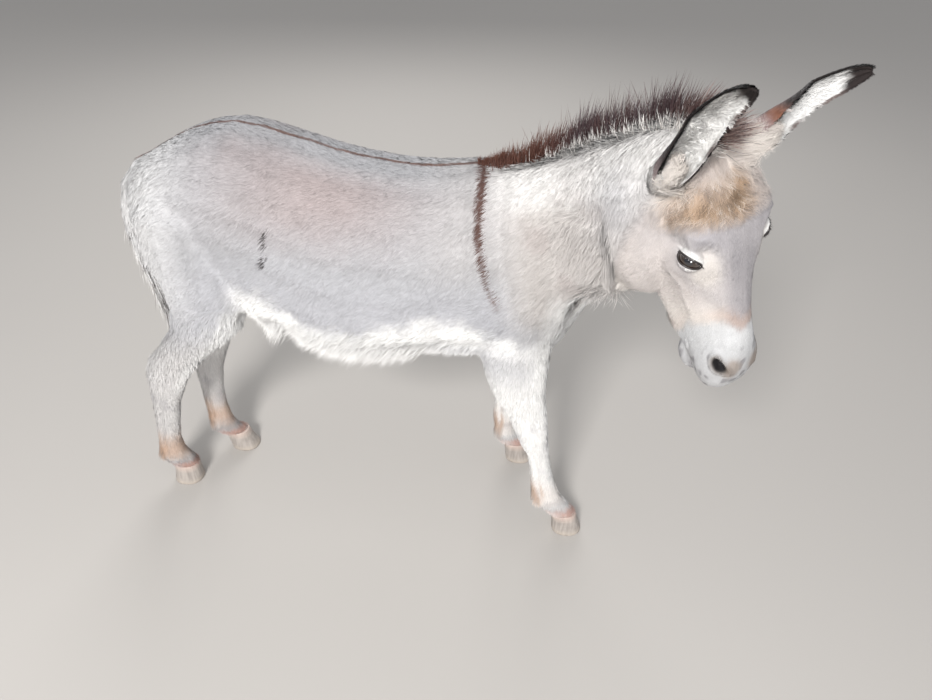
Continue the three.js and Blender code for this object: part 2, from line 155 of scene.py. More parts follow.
def waves(points, size, salt):
    """Smooth noise from -1 to 1: random numbers at the corners of cubes of that size, eased between them."""
    scaled = points / size
    base = np.floor(scaled).astype(np.int64)
    ease = scaled - base
    ease = ease * ease * (3.0 - 2.0 * ease)
    total = np.zeros(len(points))
    for corner in np.ndindex(2, 2, 2):
        share = np.where(np.array(corner) == 1, ease, 1.0 - ease).prod(axis=1)
        total += share * scatter(base + np.array(corner), salt)
    return 2.0 * total - 1.0


def drift(points, size, salt):
    """Three waves side by side: a vector that wanders smoothly from place to place."""
    return np.stack([waves(points, size, salt + k) for k in range(3)], axis=1)


def lock_centres(points, size, salt):
    """The centre of the lock that each point belongs to, and a random number for that lock.

    Each cube of that size holds one centre at a random place, and a point belongs to the nearest centre.
    """
    base = np.floor(points / size).astype(np.int64)
    best = np.full(len(points), 1e9)
    centres = np.zeros_like(points)
    lot = np.zeros(len(points))
    for step in np.ndindex(3, 3, 3):
        cell = base + np.array(step) - 1
        spot = np.stack([scatter(cell, salt + k) for k in range(3)], axis=1)
        centre = (cell + spot) * size
        distance = ((centre - points) ** 2).sum(axis=1)
        nearer = distance < best
        best = np.where(nearer, distance, best)
        centres = np.where(nearer[:, None], centre, centres)
        lot = np.where(nearer, scatter(cell, salt + 3), lot)
    return centres, lot


def ear_axes(side):
    """Rows: the way the ear opens, the way across it, and the way it points, seen from the head."""
    z = unit(EARS[side]["points"])
    y = unit(np.cross(z, EARS[side]["opens"]))
    return np.stack([np.cross(y, z), y, z])


EAR_BULB = np.array([0.0148, 0.0, -0.012])  # middle of the bulb of flesh that an ear grows from, in the ear
EAR_BULB_RADII = np.array([0.029, 0.029, 0.048])


# ---------------------------------------------------------------- places on the donkey
class Places:
    """Where points lie on the donkey: soft shares from 0 to 1 for each region of the body."""

    def __init__(self, points, normals):
        self.points, self.normals = points, normals
        self.body = points - BODY
        self.local = in_head(points)
        self.facing = normals @ HEAD_AXES
        x, y, z = self.body.T
        hx, hy, hz = self.local.T
        edge = hz + 0.10 + 0.9 * np.clip(hx - 0.10, -0.2, 0.12)
        near = smooth(0.53, 0.49, hx) * smooth(-0.07, -0.04, hx)
        self.head = smooth(-0.02, 0.02, edge) * near
        self.neck = smooth(0.27, 0.40, x + 0.25 * (z - 0.75)) * (1 - self.head) * smooth(0.58, 0.70, z)
        self.fore = smooth(0.62, 0.52, z) * smooth(0.15, 0.24, x) * smooth(0.03, 0.06, np.abs(y))
        self.fore = np.maximum(self.fore, smooth(0.46, 0.42, z) * smooth(0.1, 0.2, x)) * (1 - self.head)
        self.hind = smooth(0.66, 0.50, z) * smooth(-0.17, -0.24, x)
        self.leg = np.maximum(self.fore, self.hind)
        self.shank = self.leg * smooth(0.44, 0.34, z)
        self.muzzle = self.head * smooth(0.30, 0.37, hx + 0.10 * np.abs(hy) - 0.02)
        self.under = smooth(-0.15, -0.65, normals[:, 2]) * (1 - self.head)
        jaw = smooth(-0.15, -0.19, hz) * smooth(0.36, 0.30, hx) * smooth(0.06, 0.10, hx)
        self.jaw = jaw * near * smooth(-0.40, -0.25, hz)
        self.forehead = self.head * smooth(0.135, 0.10, hx + 0.1 * np.abs(hy)) * smooth(-0.085, -0.05, hz)
        from_eye = np.linalg.norm(folded(self.local) - EYE, axis=1)
        self.eye = self.head * np.exp(-((from_eye / 0.038) ** 4))
        middle = smooth(-0.36, -0.28, x) * smooth(0.36, 0.30, x)
        self.belly = smooth(0.62, 0.55, z) * middle * smooth(0.05, -0.45, normals[:, 2]) * (1 - self.leg)
        self.groin = hill(x, -0.198, 0.042) * smooth(0.69, 0.64, z) * smooth(0.42, 0.50, z)
        self.ear_root = np.zeros(len(x))
        for side in EARS:
            in_ear = (self.local - EARS[side]["root"]) @ ear_axes(side).T - EAR_BULB
            reach = ((in_ear / (EAR_BULB_RADII * 1.25)) ** 2).sum(axis=1)
            self.ear_root = np.maximum(self.ear_root, np.exp(-(reach**3)))


def crest_side(body):
    """How far points lie to the left of the crest of the neck, level by level along x."""
    return body[:, 1] - np.interp(body[:, 0], [0.30, 0.41, 0.51, 0.60], [0.0, -0.037, -0.136, -0.247])


def crest_share(at):
    """1 along the crest of the neck, fading to 0 beside it."""
    return at.neck * smooth(0.028, 0.012, np.abs(crest_side(at.body)))


def coat_length(at):
    """How long the hair is: longest on the forehead, jaw, belly and neck, shortest on muzzle and legs."""
    x, z, hz = at.body[:, 0], at.body[:, 2], at.local[:, 2]
    length = 0.017 + 0.005 * at.neck + 0.002 * smooth(-0.40, -0.48, x)
    length += 0.036 * at.belly + 0.006 * at.groin + 0.009 * smooth(0.40, 0.45, x) * smooth(0.80, 0.70, z)
    length = length + (0.019 - length) * at.leg * smooth(0.62, 0.46, z)
    length += 0.012 * at.hind * smooth(0.1, 0.6, at.normals[:, 0]) * smooth(0.36, 0.42, z)
    length = length + (0.0120 - length) * at.shank
    length += 0.012 * at.shank * hill(z, 0.115, 0.03) * smooth(-0.1, -0.6, at.normals[:, 0])
    face = 0.0075 + 0.005 * smooth(-0.06, -0.13, hz) + 0.018 * at.forehead + 0.006 * at.ear_root
    face = face + (0.0045 - face) * at.muzzle
    face = face * (1 - 0.45 * at.eye)
    length = length + (face - length) * at.head
    crest = crest_share(at)
    return length + 0.018 * at.jaw + 0.012 * crest


def coat_lift(at):
    """How steeply the hair stands off the skin: the rise of a blade over its length."""
    x = at.body[:, 0]
    lift = 0.18 + 0.04 * at.neck + 0.04 * smooth(-0.40, -0.48, x) * (1 - at.leg)
    lift = lift + (0.34 - lift) * at.leg
    lift = lift + 0.55 * at.belly + 0.22 * at.groin
    lift = lift + (0.22 - lift) * at.head + 0.42 * at.forehead * (1 - at.ear_root) + 0.40 * at.jaw
    crest = crest_share(at)
    return lift - 0.05 * at.muzzle + 0.35 * crest


def coat_lie(at):
    """The way the hair points: back and down on the body, down the legs, and down the face."""
    x = at.body[:, 0]
    hx, hy, hz = at.local.T
    count = len(x)
    side = np.sign(hy)
    lie = np.tile([-0.82, 0.0, -0.55], (count, 1))
    lie = blend(lie, [-0.25, 0.0, -1.0], smooth(-0.36, -0.47, x))
    aside = np.sign(crest_side(at.body)) * 0.55
    down_neck = np.stack([np.full(count, -0.55), aside + 0.25, np.full(count, -0.62)], axis=1)
    lie = blend(lie, down_neck, at.neck)
    crest = crest_share(at)
    lie = blend(lie, [-0.35, 0.1, 1.0], 0.9 * crest)
    lie = blend(lie, [-0.10, 0.0, -1.0], at.leg)
    down_face = np.stack([np.full(count, 0.85), 0.40 * side, np.full(count, -0.35)], axis=1)
    cheek = np.stack([np.full(count, 0.35), 0.10 * side, np.full(count, -0.9)], axis=1)
    local = blend(down_face, cheek, smooth(-0.05, -0.11, hz) * smooth(0.33, 0.26, hx))
    lie = blend(lie, local @ HEAD_AXES.T, at.head)
    for name in EARS:
        up_ear = ear_axes(name)[2] @ HEAD_AXES.T
        own = smooth(0.10, 0.06, np.linalg.norm(at.local - EARS[name]["root"], axis=1))
        lie = blend(lie, up_ear, at.ear_root * own)
    wander = 0.30 * drift(at.points, 0.075, 11) + 0.22 * drift(at.points, 0.020, 21)
    wander = wander + 0.8 * at.forehead[:, None] * drift(at.points, 0.009, 26)
    return unit(lie) + wander * (1 - 0.55 * at.leg)[:, None]


# ---------------------------------------------------------------- the markings, shared by skin and hair
GREY = np.array([0.372, 0.366, 0.374])
COOL = np.array([0.415, 0.410, 0.426])
WARM = np.array([0.330, 0.260, 0.245])
DUSK = np.array([0.215, 0.160, 0.150])
CREAM = np.array([0.76, 0.70, 0.635])
WHITE = np.array([0.84, 0.82, 0.79])
BROWN = np.array([0.070, 0.033, 0.026])
BLACK = np.array([0.020, 0.014, 0.013])
RUST = np.array([0.47, 0.27, 0.155])
CHESTNUT = np.array([0.250, 0.095, 0.050])
TAN = np.array([0.46, 0.31, 0.20])
MAUVE = np.array([0.315, 0.298, 0.310])
LEATHER = np.array([0.055, 0.048, 0.050])
PINK = np.array([0.44, 0.25, 0.20])
SNOUT = np.array([0.19, 0.155, 0.13])


# How high the white of the belly reaches on the flank, at places along x.
BELLY_EDGE = [
    (-0.30, 0.68),
    (-0.18, 0.66),
    (-0.10, 0.610),
    (0.0, 0.603),
    (0.115, 0.626),
    (0.18, 0.648),
    (0.24, 0.640),
    (0.32, 0.60),
]


def body_colour(at):
    """Colours of trunk, neck and legs, laid one over another by soft shares of each marking."""
    x, y, z = at.body.T
    blur = 0.012 * waves(at.points, 0.03, 31) + 0.006 * waves(at.points, 0.009, 32)
    colour = np.tile(GREY, (len(x), 1))
    # Paler, cooler grey on the lower body behind the chest: partly the coat's own tone, partly painted light.
    colour = blend(colour, COOL, smooth(0.78, 0.66, z) * smooth(0.38, 0.30, x))
    loin = hill(x, -0.04, 0.20) * smooth(0.74, 0.87, z + 0.6 * blur) * smooth(0.03, 0.10, np.abs(y))
    colour = blend(colour, WARM, 0.75 * loin)
    here = folded(at.body)
    dusk = mound(here, [-0.185, 0.085, 0.930], [0.095, 0.060, 0.055])
    dusk = dusk * (0.75 + 0.45 * waves(at.points, 0.035, 37))
    colour = blend(colour, DUSK, 0.45 * np.clip(dusk, 0, 1))
    colour = blend(colour, WHITE, 0.52 * smooth(-0.28, -0.45, x) * smooth(0.50, 0.65, z))
    shoulder = hill(x, 0.25, 0.09) * smooth(0.70, 0.80, z) * (1 - at.neck)
    colour = blend(colour, CREAM * [0.72, 0.72, 0.74], 0.85 * at.neck + 0.30 * shoulder)
    colour = blend(colour, WARM, 0.28 * at.neck * smooth(0.2, 0.6, waves(at.points, 0.06, 33)))
    high = np.interp(x, CREST[:, 0], CREST[:, 2])
    colour = blend(colour, WHITE, 0.62 * at.neck * smooth(0.085, 0.03, high - z + blur))
    nape = mound(at.local, [0.06, -0.115, -0.13], [0.07, 0.05, 0.07])
    colour = blend(colour, COOL, 0.6 * at.neck * nape)
    edge = np.interp(x, *np.array(BELLY_EDGE).T)
    belly = smooth(edge + 0.034, edge - 0.026, z + 1.3 * blur) * smooth(-0.275, -0.215, x) * (1 - at.leg)
    below = 0.9 * at.under * smooth(0.75, 0.65, z)
    colour = blend(colour, WHITE, np.maximum(np.maximum(belly, at.groin), below))
    facing_ahead = smooth(0.3, 0.7, at.normals[:, 0] - 0.3 * at.normals[:, 2])
    chest = smooth(0.38, 0.44, x) * facing_ahead * smooth(0.80, 0.70, z)
    colour = blend(colour, WHITE, 0.85 * chest)
    inward = smooth(0.0, 0.5, -at.normals[:, 1] * np.sign(y))
    pale = blend(np.tile(CREAM * [0.72, 0.75, 0.80], (len(x), 1)), WHITE, 0.7 * (x > 0))
    colour = blend(colour, pale, at.leg * smooth(0.60, 0.44, z))
    fronting = smooth(0.25, 0.60, at.normals[:, 0]) * smooth(0.30, 0.42, z)
    colour = blend(colour, WHITE, 0.9 * at.leg * np.maximum(inward * smooth(0.30, 0.40, z), fronting))
    colour = blend(colour, MAUVE, 0.35 * at.shank * smooth(0.1, 0.6, waves(at.points, 0.028, 34)))
    behind = smooth(0.1, -0.5, at.normals[:, 0])
    patch = np.where(x < 0, 0.75 + 0.25 * behind, 0.20 + 0.65 * behind)
    orange = at.shank * hill(z + blur, 0.138, 0.042) * patch
    colour = blend(colour, RUST, 0.80 * orange)
    colour = blend(colour, GREY * 0.8, 0.55 * at.shank * hill(z, 0.088, 0.014))
    coronet = smooth(0.090, 0.074, z + 0.5 * blur) * (0.45 + 0.55 * smooth(-0.2, 0.5, at.normals[:, 0]))
    colour = blend(colour, PINK, 0.85 * at.shank * coronet)
    return with_dark_lines(at, colour)


def with_dark_lines(at, colour):
    """Adds the back stripe, the shoulder cross, and a thin black line of painted shade on the right flank."""
    x, y, z = at.body.T
    stripe = smooth(0.0070, 0.0035, np.abs(y + 0.003 * waves(at.points, 0.05, 35))) * smooth(0.80, 0.86, z)
    stripe = stripe * smooth(-0.53, -0.50, x) * smooth(0.27, 0.255, x) * smooth(0.2, 0.6, at.normals[:, 2])
    wander = 0.0025 * waves(at.points, 0.02, 36)
    line = 0.255 + 1.20 * np.maximum(0.9 - z, 0.0) ** 2 + wander
    width = 0.0025 + 0.0055 * smooth(0.70, 0.88, z)
    cross = smooth(width + 0.003, width - 0.002, np.abs(x - line)) * smooth(0.675, 0.70, z)
    dark = np.maximum(0.90 * stripe, 0.98 * cross)
    red = blend(np.tile(BROWN, (len(x), 1)), CHESTNUT, 0.07 + 0.22 * stripe + 0.25 * smooth(0.74, 0.70, z))
    colour = blend(colour, red, dark)
    # Painted shade: a thin black line on the right flank stands in for the shadow in a fold of the coat.
    leant = x + 0.158 - 0.10 * (z - 0.79)
    fold_shade = hill(leant, 0, 0.0034) * np.maximum(hill(z, 0.797, 0.021), 0.85 * hill(z, 0.752, 0.014)) * (y < 0)
    return blend(colour, BLACK, 0.97 * smooth(0.15, 0.5, fold_shade))


def head_colour(at):
    """Colours of the head: grey-mauve face, tan forehead, white ring round the eye and white muzzle."""
    hx, hy, hz = at.local.T
    side = np.abs(hy)
    blur = 0.010 * waves(at.points, 0.03, 41) + 0.004 * waves(at.points, 0.008, 42)
    colour = np.tile(MAUVE, (len(hx), 1))
    colour = blend(colour, CREAM * [0.86, 0.83, 0.83], 0.62 * smooth(0.06, -0.10, hz + 0.35 * side + blur))
    here = folded(at.local)
    cheek = mound(here, [0.205, 0.060, -0.015], [0.055, 0.024, 0.030])
    colour = blend(colour, CREAM * 0.82, 0.62 * smooth(0.10, 0.75, cheek))
    colour = blend(colour, CREAM * 0.85, 0.5 * hill(hx, 0.295, 0.03) * smooth(0.02, 0.04, side))
    bridge = smooth(0.036, 0.014, side) * smooth(0.13, 0.20, hx) * smooth(0.33, 0.29, hx)
    colour = blend(colour, MAUVE * 0.72, 0.60 * bridge)
    pad = smooth(0.035, -0.005, hy) * smooth(0.030, 0.060, hx) * smooth(-0.095, -0.070, hy)
    tan = at.forehead * (0.12 + 0.88 * pad) * (0.85 + 0.35 * waves(at.points, 0.03, 43))
    colour = blend(colour, CREAM * [0.95, 0.88, 0.86], 0.6 * at.forehead)
    curls = waves(at.points, 0.007, 44)
    woolly = blend(np.tile(TAN, (len(hx), 1)), CREAM, 0.6 * smooth(0.1, 0.7, curls))
    woolly = blend(woolly, TAN * 0.30, 0.85 * smooth(0.0, -0.5, curls))
    colour = blend(colour, woolly, np.clip(tan, 0, 1))
    behind_ear = mound(here, [0.035, 0.085, -0.11], [0.06, 0.05, 0.05])
    colour = blend(colour, MAUVE * 0.95, 0.6 * behind_ear)
    fluff = at.ear_root * smooth(-0.2, 0.5, at.facing[:, 0] + at.facing[:, 2])
    colour = blend(colour, CREAM * 1.05, 0.7 * fluff)
    from_eye = here - EYE
    _, gaze, line, up = eye_axes(1)
    across, along = from_eye @ up, from_eye @ line
    ring = np.sqrt(((along + 0.001) / 0.031) ** 2 + ((across - 0.0022) / 0.0142) ** 2)
    near = smooth(0.0, 0.010, from_eye @ gaze)
    colour = blend(colour, WHITE * 0.80, 0.85 * smooth(1.10, 0.85, ring + 5 * blur) * near)
    # Black at both corners of the eye: dark skin there, and partly painted shade in the notches of the
    # corners.
    front_corner = hill(along, 0.0245, 0.0070) * hill(across, -0.0035, 0.0032)
    back_corner = hill(along, -0.0265, 0.0085) * hill(across, 0.0020, 0.0022)
    corners = smooth(0.25, 0.60, np.maximum(front_corner, back_corner))
    colour = blend(colour, BLACK * 1.5, 0.92 * corners * near)
    colour = with_muzzle(at, colour, blur)
    return blend(colour, CREAM * 0.8, 0.7 * at.jaw)


def with_muzzle(at, colour, blur):
    """Adds the white muzzle with its grey wrinkles, dark lips, and brownish bare skin round the nostrils.

    The white is dimmed and a little cooled, the wrinkles are grey bands, and the nostrils' holes are near
    black:
    all three are painted shade.
    """
    hx, _, hz = at.local.T
    here = folded(at.local)
    side = here[:, 1]
    border = 0.315 - 0.018 * smooth(0.0, 0.04, side) + 0.03 * smooth(-0.08, -0.14, hz) + blur
    white = smooth(border - 0.006, border + 0.012, hx)
    colour = blend(colour, RUST, 0.30 * hill(hx, border - 0.012, 0.014) * smooth(0.05, 0.02, side))
    # Painted shade: the muzzle's white is laid on dimmed to grey and a little cooler.
    colour = blend(colour, WHITE * [0.59, 0.60, 0.62], white)
    snout = mound(here, NOSTRIL + [0.010, -0.018, 0.010], [0.022, 0.016, 0.022])
    # Painted shade: the nostril's hole is painted nearly black; the bare skin at its rim darkens toward it,
    # partly its own colour and partly painted shade.
    round_off, close = nostril_reach(here, 1)
    hole_shade = smooth(1.35, 0.85, round_off + 25 * blur) * close
    lips = hill(hz, -0.120, 0.006) * smooth(0.36, 0.40, hx)
    # Painted shade: the muzzle is greyed all over, and more so in wavy bands that stand in for the shade in
    # wrinkles.
    creases = smooth(0.05, 0.6, waves(at.points * [1.6, 1.6, 0.8], 0.012, 45))
    wrinkle_shade = smooth(0.325, 0.38, hx) * (0.24 + 0.50 * creases)
    colour = blend(colour, MAUVE * 0.55, np.clip(wrinkle_shade, 0, 0.8))
    colour = blend(colour, LEATHER * 2.2, 0.55 * lips)
    colour = blend(colour, SNOUT * 1.35, 0.80 * smooth(0.12, 0.80, snout + 12 * blur))
    # Darker bare skin round the nostril, grading into the painted shade of its hole.
    colour = blend(colour, SNOUT * 0.65, 0.80 * smooth(2.2, 1.1, round_off + 40 * blur) * close)
    return blend(colour, LEATHER * 0.25, hole_shade)


def coat_colour(at):
    """The markings at any place: those of the body and those of the head, joined at the throat."""
    return blend(body_colour(at), head_colour(at), at.head)


# ---------------------------------------------------------------- meshes from arrays
def shade_smooth(mesh):
    """Shades all faces of a mesh as one smooth surface."""
    mesh.polygons.foreach_set("use_smooth", np.ones(len(mesh.polygons), bool))


def new_mesh(name, points, loops, sizes):
    """A mesh from its points, the corner numbers of its faces in one row, and each face's corner count."""
    mesh = bpy.data.meshes.new(name)
    mesh.vertices.add(len(points))
    mesh.vertices.foreach_set("co", np.asarray(points, np.float32).ravel())
    mesh.loops.add(len(loops))
    mesh.loops.foreach_set("vertex_index", np.asarray(loops, np.int32))
    mesh.polygons.add(len(sizes))
    starts = np.concatenate([[0], np.cumsum(sizes)[:-1]])
    mesh.polygons.foreach_set("loop_start", starts.astype(np.int32))
    mesh.update(calc_edges=True)
    mesh.validate()
    shade_smooth(mesh)
    return mesh


def new_piece(name, mesh, material, slot, *replaced):
    """Puts a mesh in the scene as a piece of the donkey, with its finish and the solids it stands for."""
    piece = bpy.data.objects.new(name, mesh)
    bpy.context.scene.collection.objects.link(piece)
    mesh.materials.append(material)
    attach(piece, "root")
    if replaced:
        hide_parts(*replaced)
    return piece


def add_number(mesh, name, values):
    """Keeps a number for each point of a mesh, for its material to read."""
    mesh.attributes.new(name, "FLOAT", "POINT").data.foreach_set("value", np.asarray(values, np.float32))


def add_vector(mesh, name, values):
    """Keeps a vector for each point of a mesh."""
    kept = mesh.attributes.new(name, "FLOAT_VECTOR", "POINT")
    kept.data.foreach_set("vector", np.asarray(values, np.float32).ravel())


def add_colour(mesh, name, values):
    """Keeps a colour for each point of a mesh."""
    kept = mesh.attributes.new(name, "FLOAT_COLOR", "POINT")
    full = np.concatenate([values, np.ones((len(values), 1))], axis=1)
    kept.data.foreach_set("color", full.astype(np.float32).ravel())


def grid_faces(rows, columns):
    """The corner numbers of a grid's squares, row by row, with the last column joined to the first."""
    i, k = np.meshgrid(np.arange(rows - 1), np.arange(columns), indexing="ij")
    here, right = i * columns + k, i * columns + (k + 1) % columns
    return np.stack([here, right, right + columns, here + columns], axis=-1).reshape(-1, 4)


def capped_tube(name, points, rows, columns):
    """A closed mesh from rings of points: squares between the rings, and one face over each end."""
    squares = grid_faces(rows, columns)
    ring = np.arange(columns)
    loops = np.concatenate([squares.ravel(), ring[::-1], (rows - 1) * columns + ring])
    mesh = new_mesh(name, points, loops, [4] * len(squares) + [columns] * 2)
    face_outward(mesh)
    return mesh


def face_outward(mesh, merge=0.0):
    """Joins points closer than merge, and turns all faces of a closed mesh outward."""
    work = bmesh.new()
    work.from_mesh(mesh)
    if merge:
        bmesh.ops.remove_doubles(work, verts=work.verts, dist=merge)
    bmesh.ops.recalc_face_normals(work, faces=work.faces)
    work.to_mesh(mesh)
    work.free()


def points_of(mesh):
    """The points of a mesh as an array."""
    points = np.empty(len(mesh.vertices) * 3)
    mesh.vertices.foreach_get("co", points)
    return points.reshape(-1, 3)


def normals_of(mesh):
    """The smooth normals of a mesh as an array."""
    normals = np.empty(len(mesh.vertices) * 3)
    mesh.vertices.foreach_get("normal", normals)
    return normals.reshape(-1, 3)


def set_points(mesh, points):
    """Moves the points of a mesh."""
    mesh.vertices.foreach_set("co", np.asarray(points, np.float32).ravel())
    mesh.update()


def triangles_of(mesh):
    """The corner numbers of a mesh's triangles."""
    mesh.calc_loop_triangles()
    corners = np.empty(len(mesh.loop_triangles) * 3, np.int32)
    mesh.loop_triangles.foreach_get("vertices", corners)
    return corners.reshape(-1, 3)


def relaxed(mesh, rounds, weight):
    """Fades bumps by a weight for each point.

    Each round moves points half way to the mean of their neighbours, then a little more back.
    """
    points = points_of(mesh)
    edges = np.empty(len(mesh.edges) * 2, np.int32)
    mesh.edges.foreach_get("vertices", edges)
    a, b = edges.reshape(-1, 2).T
    count = len(points)
    degree = np.maximum(np.bincount(edges, minlength=count), 1)
    for _ in range(rounds):
        for step in (0.5, -0.515):
            total = np.empty_like(points)
            for k in range(3):
                total[:, k] = np.bincount(a, points[b, k], count) + np.bincount(b, points[a, k], count)
            points = points + (step * weight)[:, None] * (total / degree[:, None] - points)
    set_points(mesh, points)


# ---------------------------------------------------------------- the skin
LEGS = ("foreleg_right", "foreleg_left", "hind_leg_right", "hind_leg_left")
UPPERS = {"foreleg": "forearm", "hind_leg": "thigh"}
FLESH = ["trunk", "neck", "head", "muzzle", "lower_lip", "tail_dock"]
FLESH += [f"{leg}_{UPPERS[leg.rsplit('_', 1)[0]]}" for leg in LEGS] + [f"{leg}_cannon" for leg in LEGS]


def joined_flesh():
    """The solids of flesh and eyes as one surface, joined on a fine grid, with their gaps closed."""
    shell = bmesh.new()
    for name in FLESH + ["eye_left", "eye_right"]:
        shell.from_mesh(nodes[name].data)
    for side in EARS:
        axes = ear_axes(side)
        middle = out_of_head(EARS[side]["root"] + EAR_BULB @ axes)
        place = np.eye(4)
        place[:3, :3] = (HEAD_AXES @ axes.T) * EAR_BULB_RADII
        place[:3, 3] = middle
        bmesh.ops.create_icosphere(shell, subdivisions=3, radius=1.0, matrix=Matrix(place.tolist()))
    bmesh.ops.remove_doubles(shell, verts=shell.verts, dist=1e-5)
    shell.normal_update()
    for vertex in shell.verts:
        vertex.co += vertex.normal * SWELL
    mesh = bpy.data.meshes.new("flesh")
    shell.to_mesh(mesh)
    shell.free()
    rough = bpy.data.objects.new("flesh", mesh)
    bpy.context.scene.collection.objects.link(rough)
    grid = rough.modifiers.new("grid", "REMESH")
    grid.mode = "VOXEL"
    grid.voxel_size = VOXEL
    seen = rough.evaluated_get(bpy.context.evaluated_depsgraph_get())
    skin = bpy.data.meshes.new_from_object(seen)
    bpy.data.objects.remove(rough)
    return skin


def finer(mesh, chosen):
    """Halves the faces whose points are all chosen."""
    work = bmesh.new()
    work.from_mesh(mesh)
    work.verts.ensure_lookup_table()
    inside = [edge for edge in work.edges if chosen[edge.verts[0].index] and chosen[edge.verts[1].index]]
    bmesh.ops.subdivide_edges(work, edges=inside, cuts=1, use_grid_fill=True)
    work.to_mesh(mesh)
    work.free()


def places_of(mesh):
    """The places of a mesh's points."""
    return Places(points_of(mesh), normals_of(mesh))


# Muscles and bones under the skin: a place in the body, how far it spreads, and how far it stands out.
BODY_FORMS = [
    ([0.290, 0.135, 0.800], [0.030, 0.09, 0.080], 0.0035),
    ([0.385, 0.115, 0.650], [0.045, 0.07, 0.050], 0.0050),
    ([0.285, 0.150, 0.655], [0.060, 0.07, 0.060], 0.0060),
    ([0.205, 0.180, 0.640], [0.028, 0.08, 0.090], -0.0045),
    ([-0.215, 0.130, 0.880], [0.040, 0.06, 0.030], 0.0065),
    ([-0.130, 0.180, 0.800], [0.055, 0.08, 0.060], -0.0050),
    ([-0.205, 0.150, 0.610], [0.045, 0.08, 0.050], 0.0060),
    ([-0.370, 0.140, 0.760], [0.070, 0.07, 0.080], 0.0050),
    ([-0.480, 0.105, 0.715], [0.065, 0.06, 0.105], -0.0240),
    ([-0.300, 0.160, 0.690], [0.022, 0.07, 0.070], -0.0025),
]
# The same for the head, in its own axes.
HEAD_FORMS = [
    ([0.215, 0.075, -0.078], [0.035, 0.030, 0.0075], 0.0035),
    ([0.265, 0.060, -0.088], [0.028, 0.030, 0.0075], 0.0030),
    ([0.150, 0.078, -0.150], [0.060, 0.036, 0.050], 0.0150),
    ([0.235, 0.055, -0.165], [0.050, 0.030, 0.040], 0.0120),
    ([0.115, 0.072, -0.004], [0.018, 0.020, 0.014], -0.0028),
    ([0.166, 0.088, -0.002], [0.028, 0.022, 0.014], 0.0075),
    ([0.255, 0.042, -0.045], [0.050, 0.018, 0.016], -0.0040),
    ([0.226, 0.058, -0.014], [0.028, 0.022, 0.022], -0.0060),
    ([0.300, 0.050, -0.120], [0.035, 0.025, 0.018], -0.0035),
    ([0.385, 0.052, -0.080], [0.022, 0.020, 0.022], 0.0030),
    ([0.412, 0.030, -0.030], [0.020, 0.014, 0.014], 0.0020),
    ([0.425, 0.000, -0.080], [0.018, 0.007, 0.022], -0.0022),
]


def ahead_of_leg(at):
    """How far each point lies ahead of its leg's middle, with the middle found level by level."""
    x, y, z = at.body.T
    ahead = np.zeros(len(x))
    levels = np.linspace(0.06, 0.40, 18)
    for fore in (True, False):
        for side in SIDES.values():
            mine = (z < 0.42) & ((x > 0) == fore) & ((y > (0.0 if fore else -0.045)) == (side > 0))
            if not mine.any():
                continue
            centre_x = [x[mine & (np.abs(z - level) < 0.012)].mean() for level in levels]
            ahead[mine] = x[mine] - np.interp(z[mine], levels, centre_x)
    return ahead


def shaped_body(at):
    """Moves the skin in by the depth of the coat, and adds muscles, bones and the tendons of the legs."""
    depth = 0.85 * coat_length(at) * coat_lift(at) + SWELL
    body, local = folded(at.body), folded(at.local)
    relief = np.zeros(len(depth))
    for centre, radii, height in BODY_FORMS:
        relief += height * mound(body, centre, radii) * (1 - at.head)
    z = at.body[:, 2]
    lower = at.shank * smooth(0.115, 0.15, z) * smooth(0.30, 0.26, z)
    relief -= 0.0042 * hill(ahead_of_leg(at), -0.008, 0.0065) * lower
    for centre, radii, height in HEAD_FORMS:
        relief += height * mound(local, centre, radii) * at.head
    return at.points + at.normals * (relief - depth)[:, None]


def eye_axes(side):
    """Centre, gaze, corner-to-corner line and upward way of the eye on one side, in the head."""
    flip = np.array([1, side, 1])
    gaze = unit(GAZE) * flip
    line = unit(EYE_LINE - (EYE_LINE @ unit(GAZE)) * unit(GAZE)) * flip
    up = np.cross(line, gaze) * side
    return EYE * flip, gaze, line, -up if up[2] < 0 else up


LID_REACH = math.radians(77)  # from the middle of the eye to a corner of the lids
UPPER_LID, LOWER_LID = math.radians(18), math.radians(24)
LID_EDGE = EYE_RADIUS * 1.045  # how far the lids' edges lie from the middle of the eye
LID_SKEW = 0.45  # the upper lid is highest nearer the front corner, the lower lid is lowest nearer the back


def lid_way(turn):
    """The way from the eye's middle to the lid edges, along gaze, line and up.

    Round the almond, the angle along the eye goes with cos(turn), and the one above or below it with
    |sin(turn)|^1.25 and the skew.
    """
    along = LID_REACH * np.cos(turn)
    share = np.abs(np.sin(turn)) ** 1.25
    skew = LID_SKEW * np.cos(turn)
    upward = np.where(np.sin(turn) > 0, UPPER_LID * share * (1 + skew), -LOWER_LID * share * (1 - skew))
    return np.stack([np.cos(upward) * np.cos(along), np.cos(upward) * np.sin(along), np.sin(upward)], axis=1)


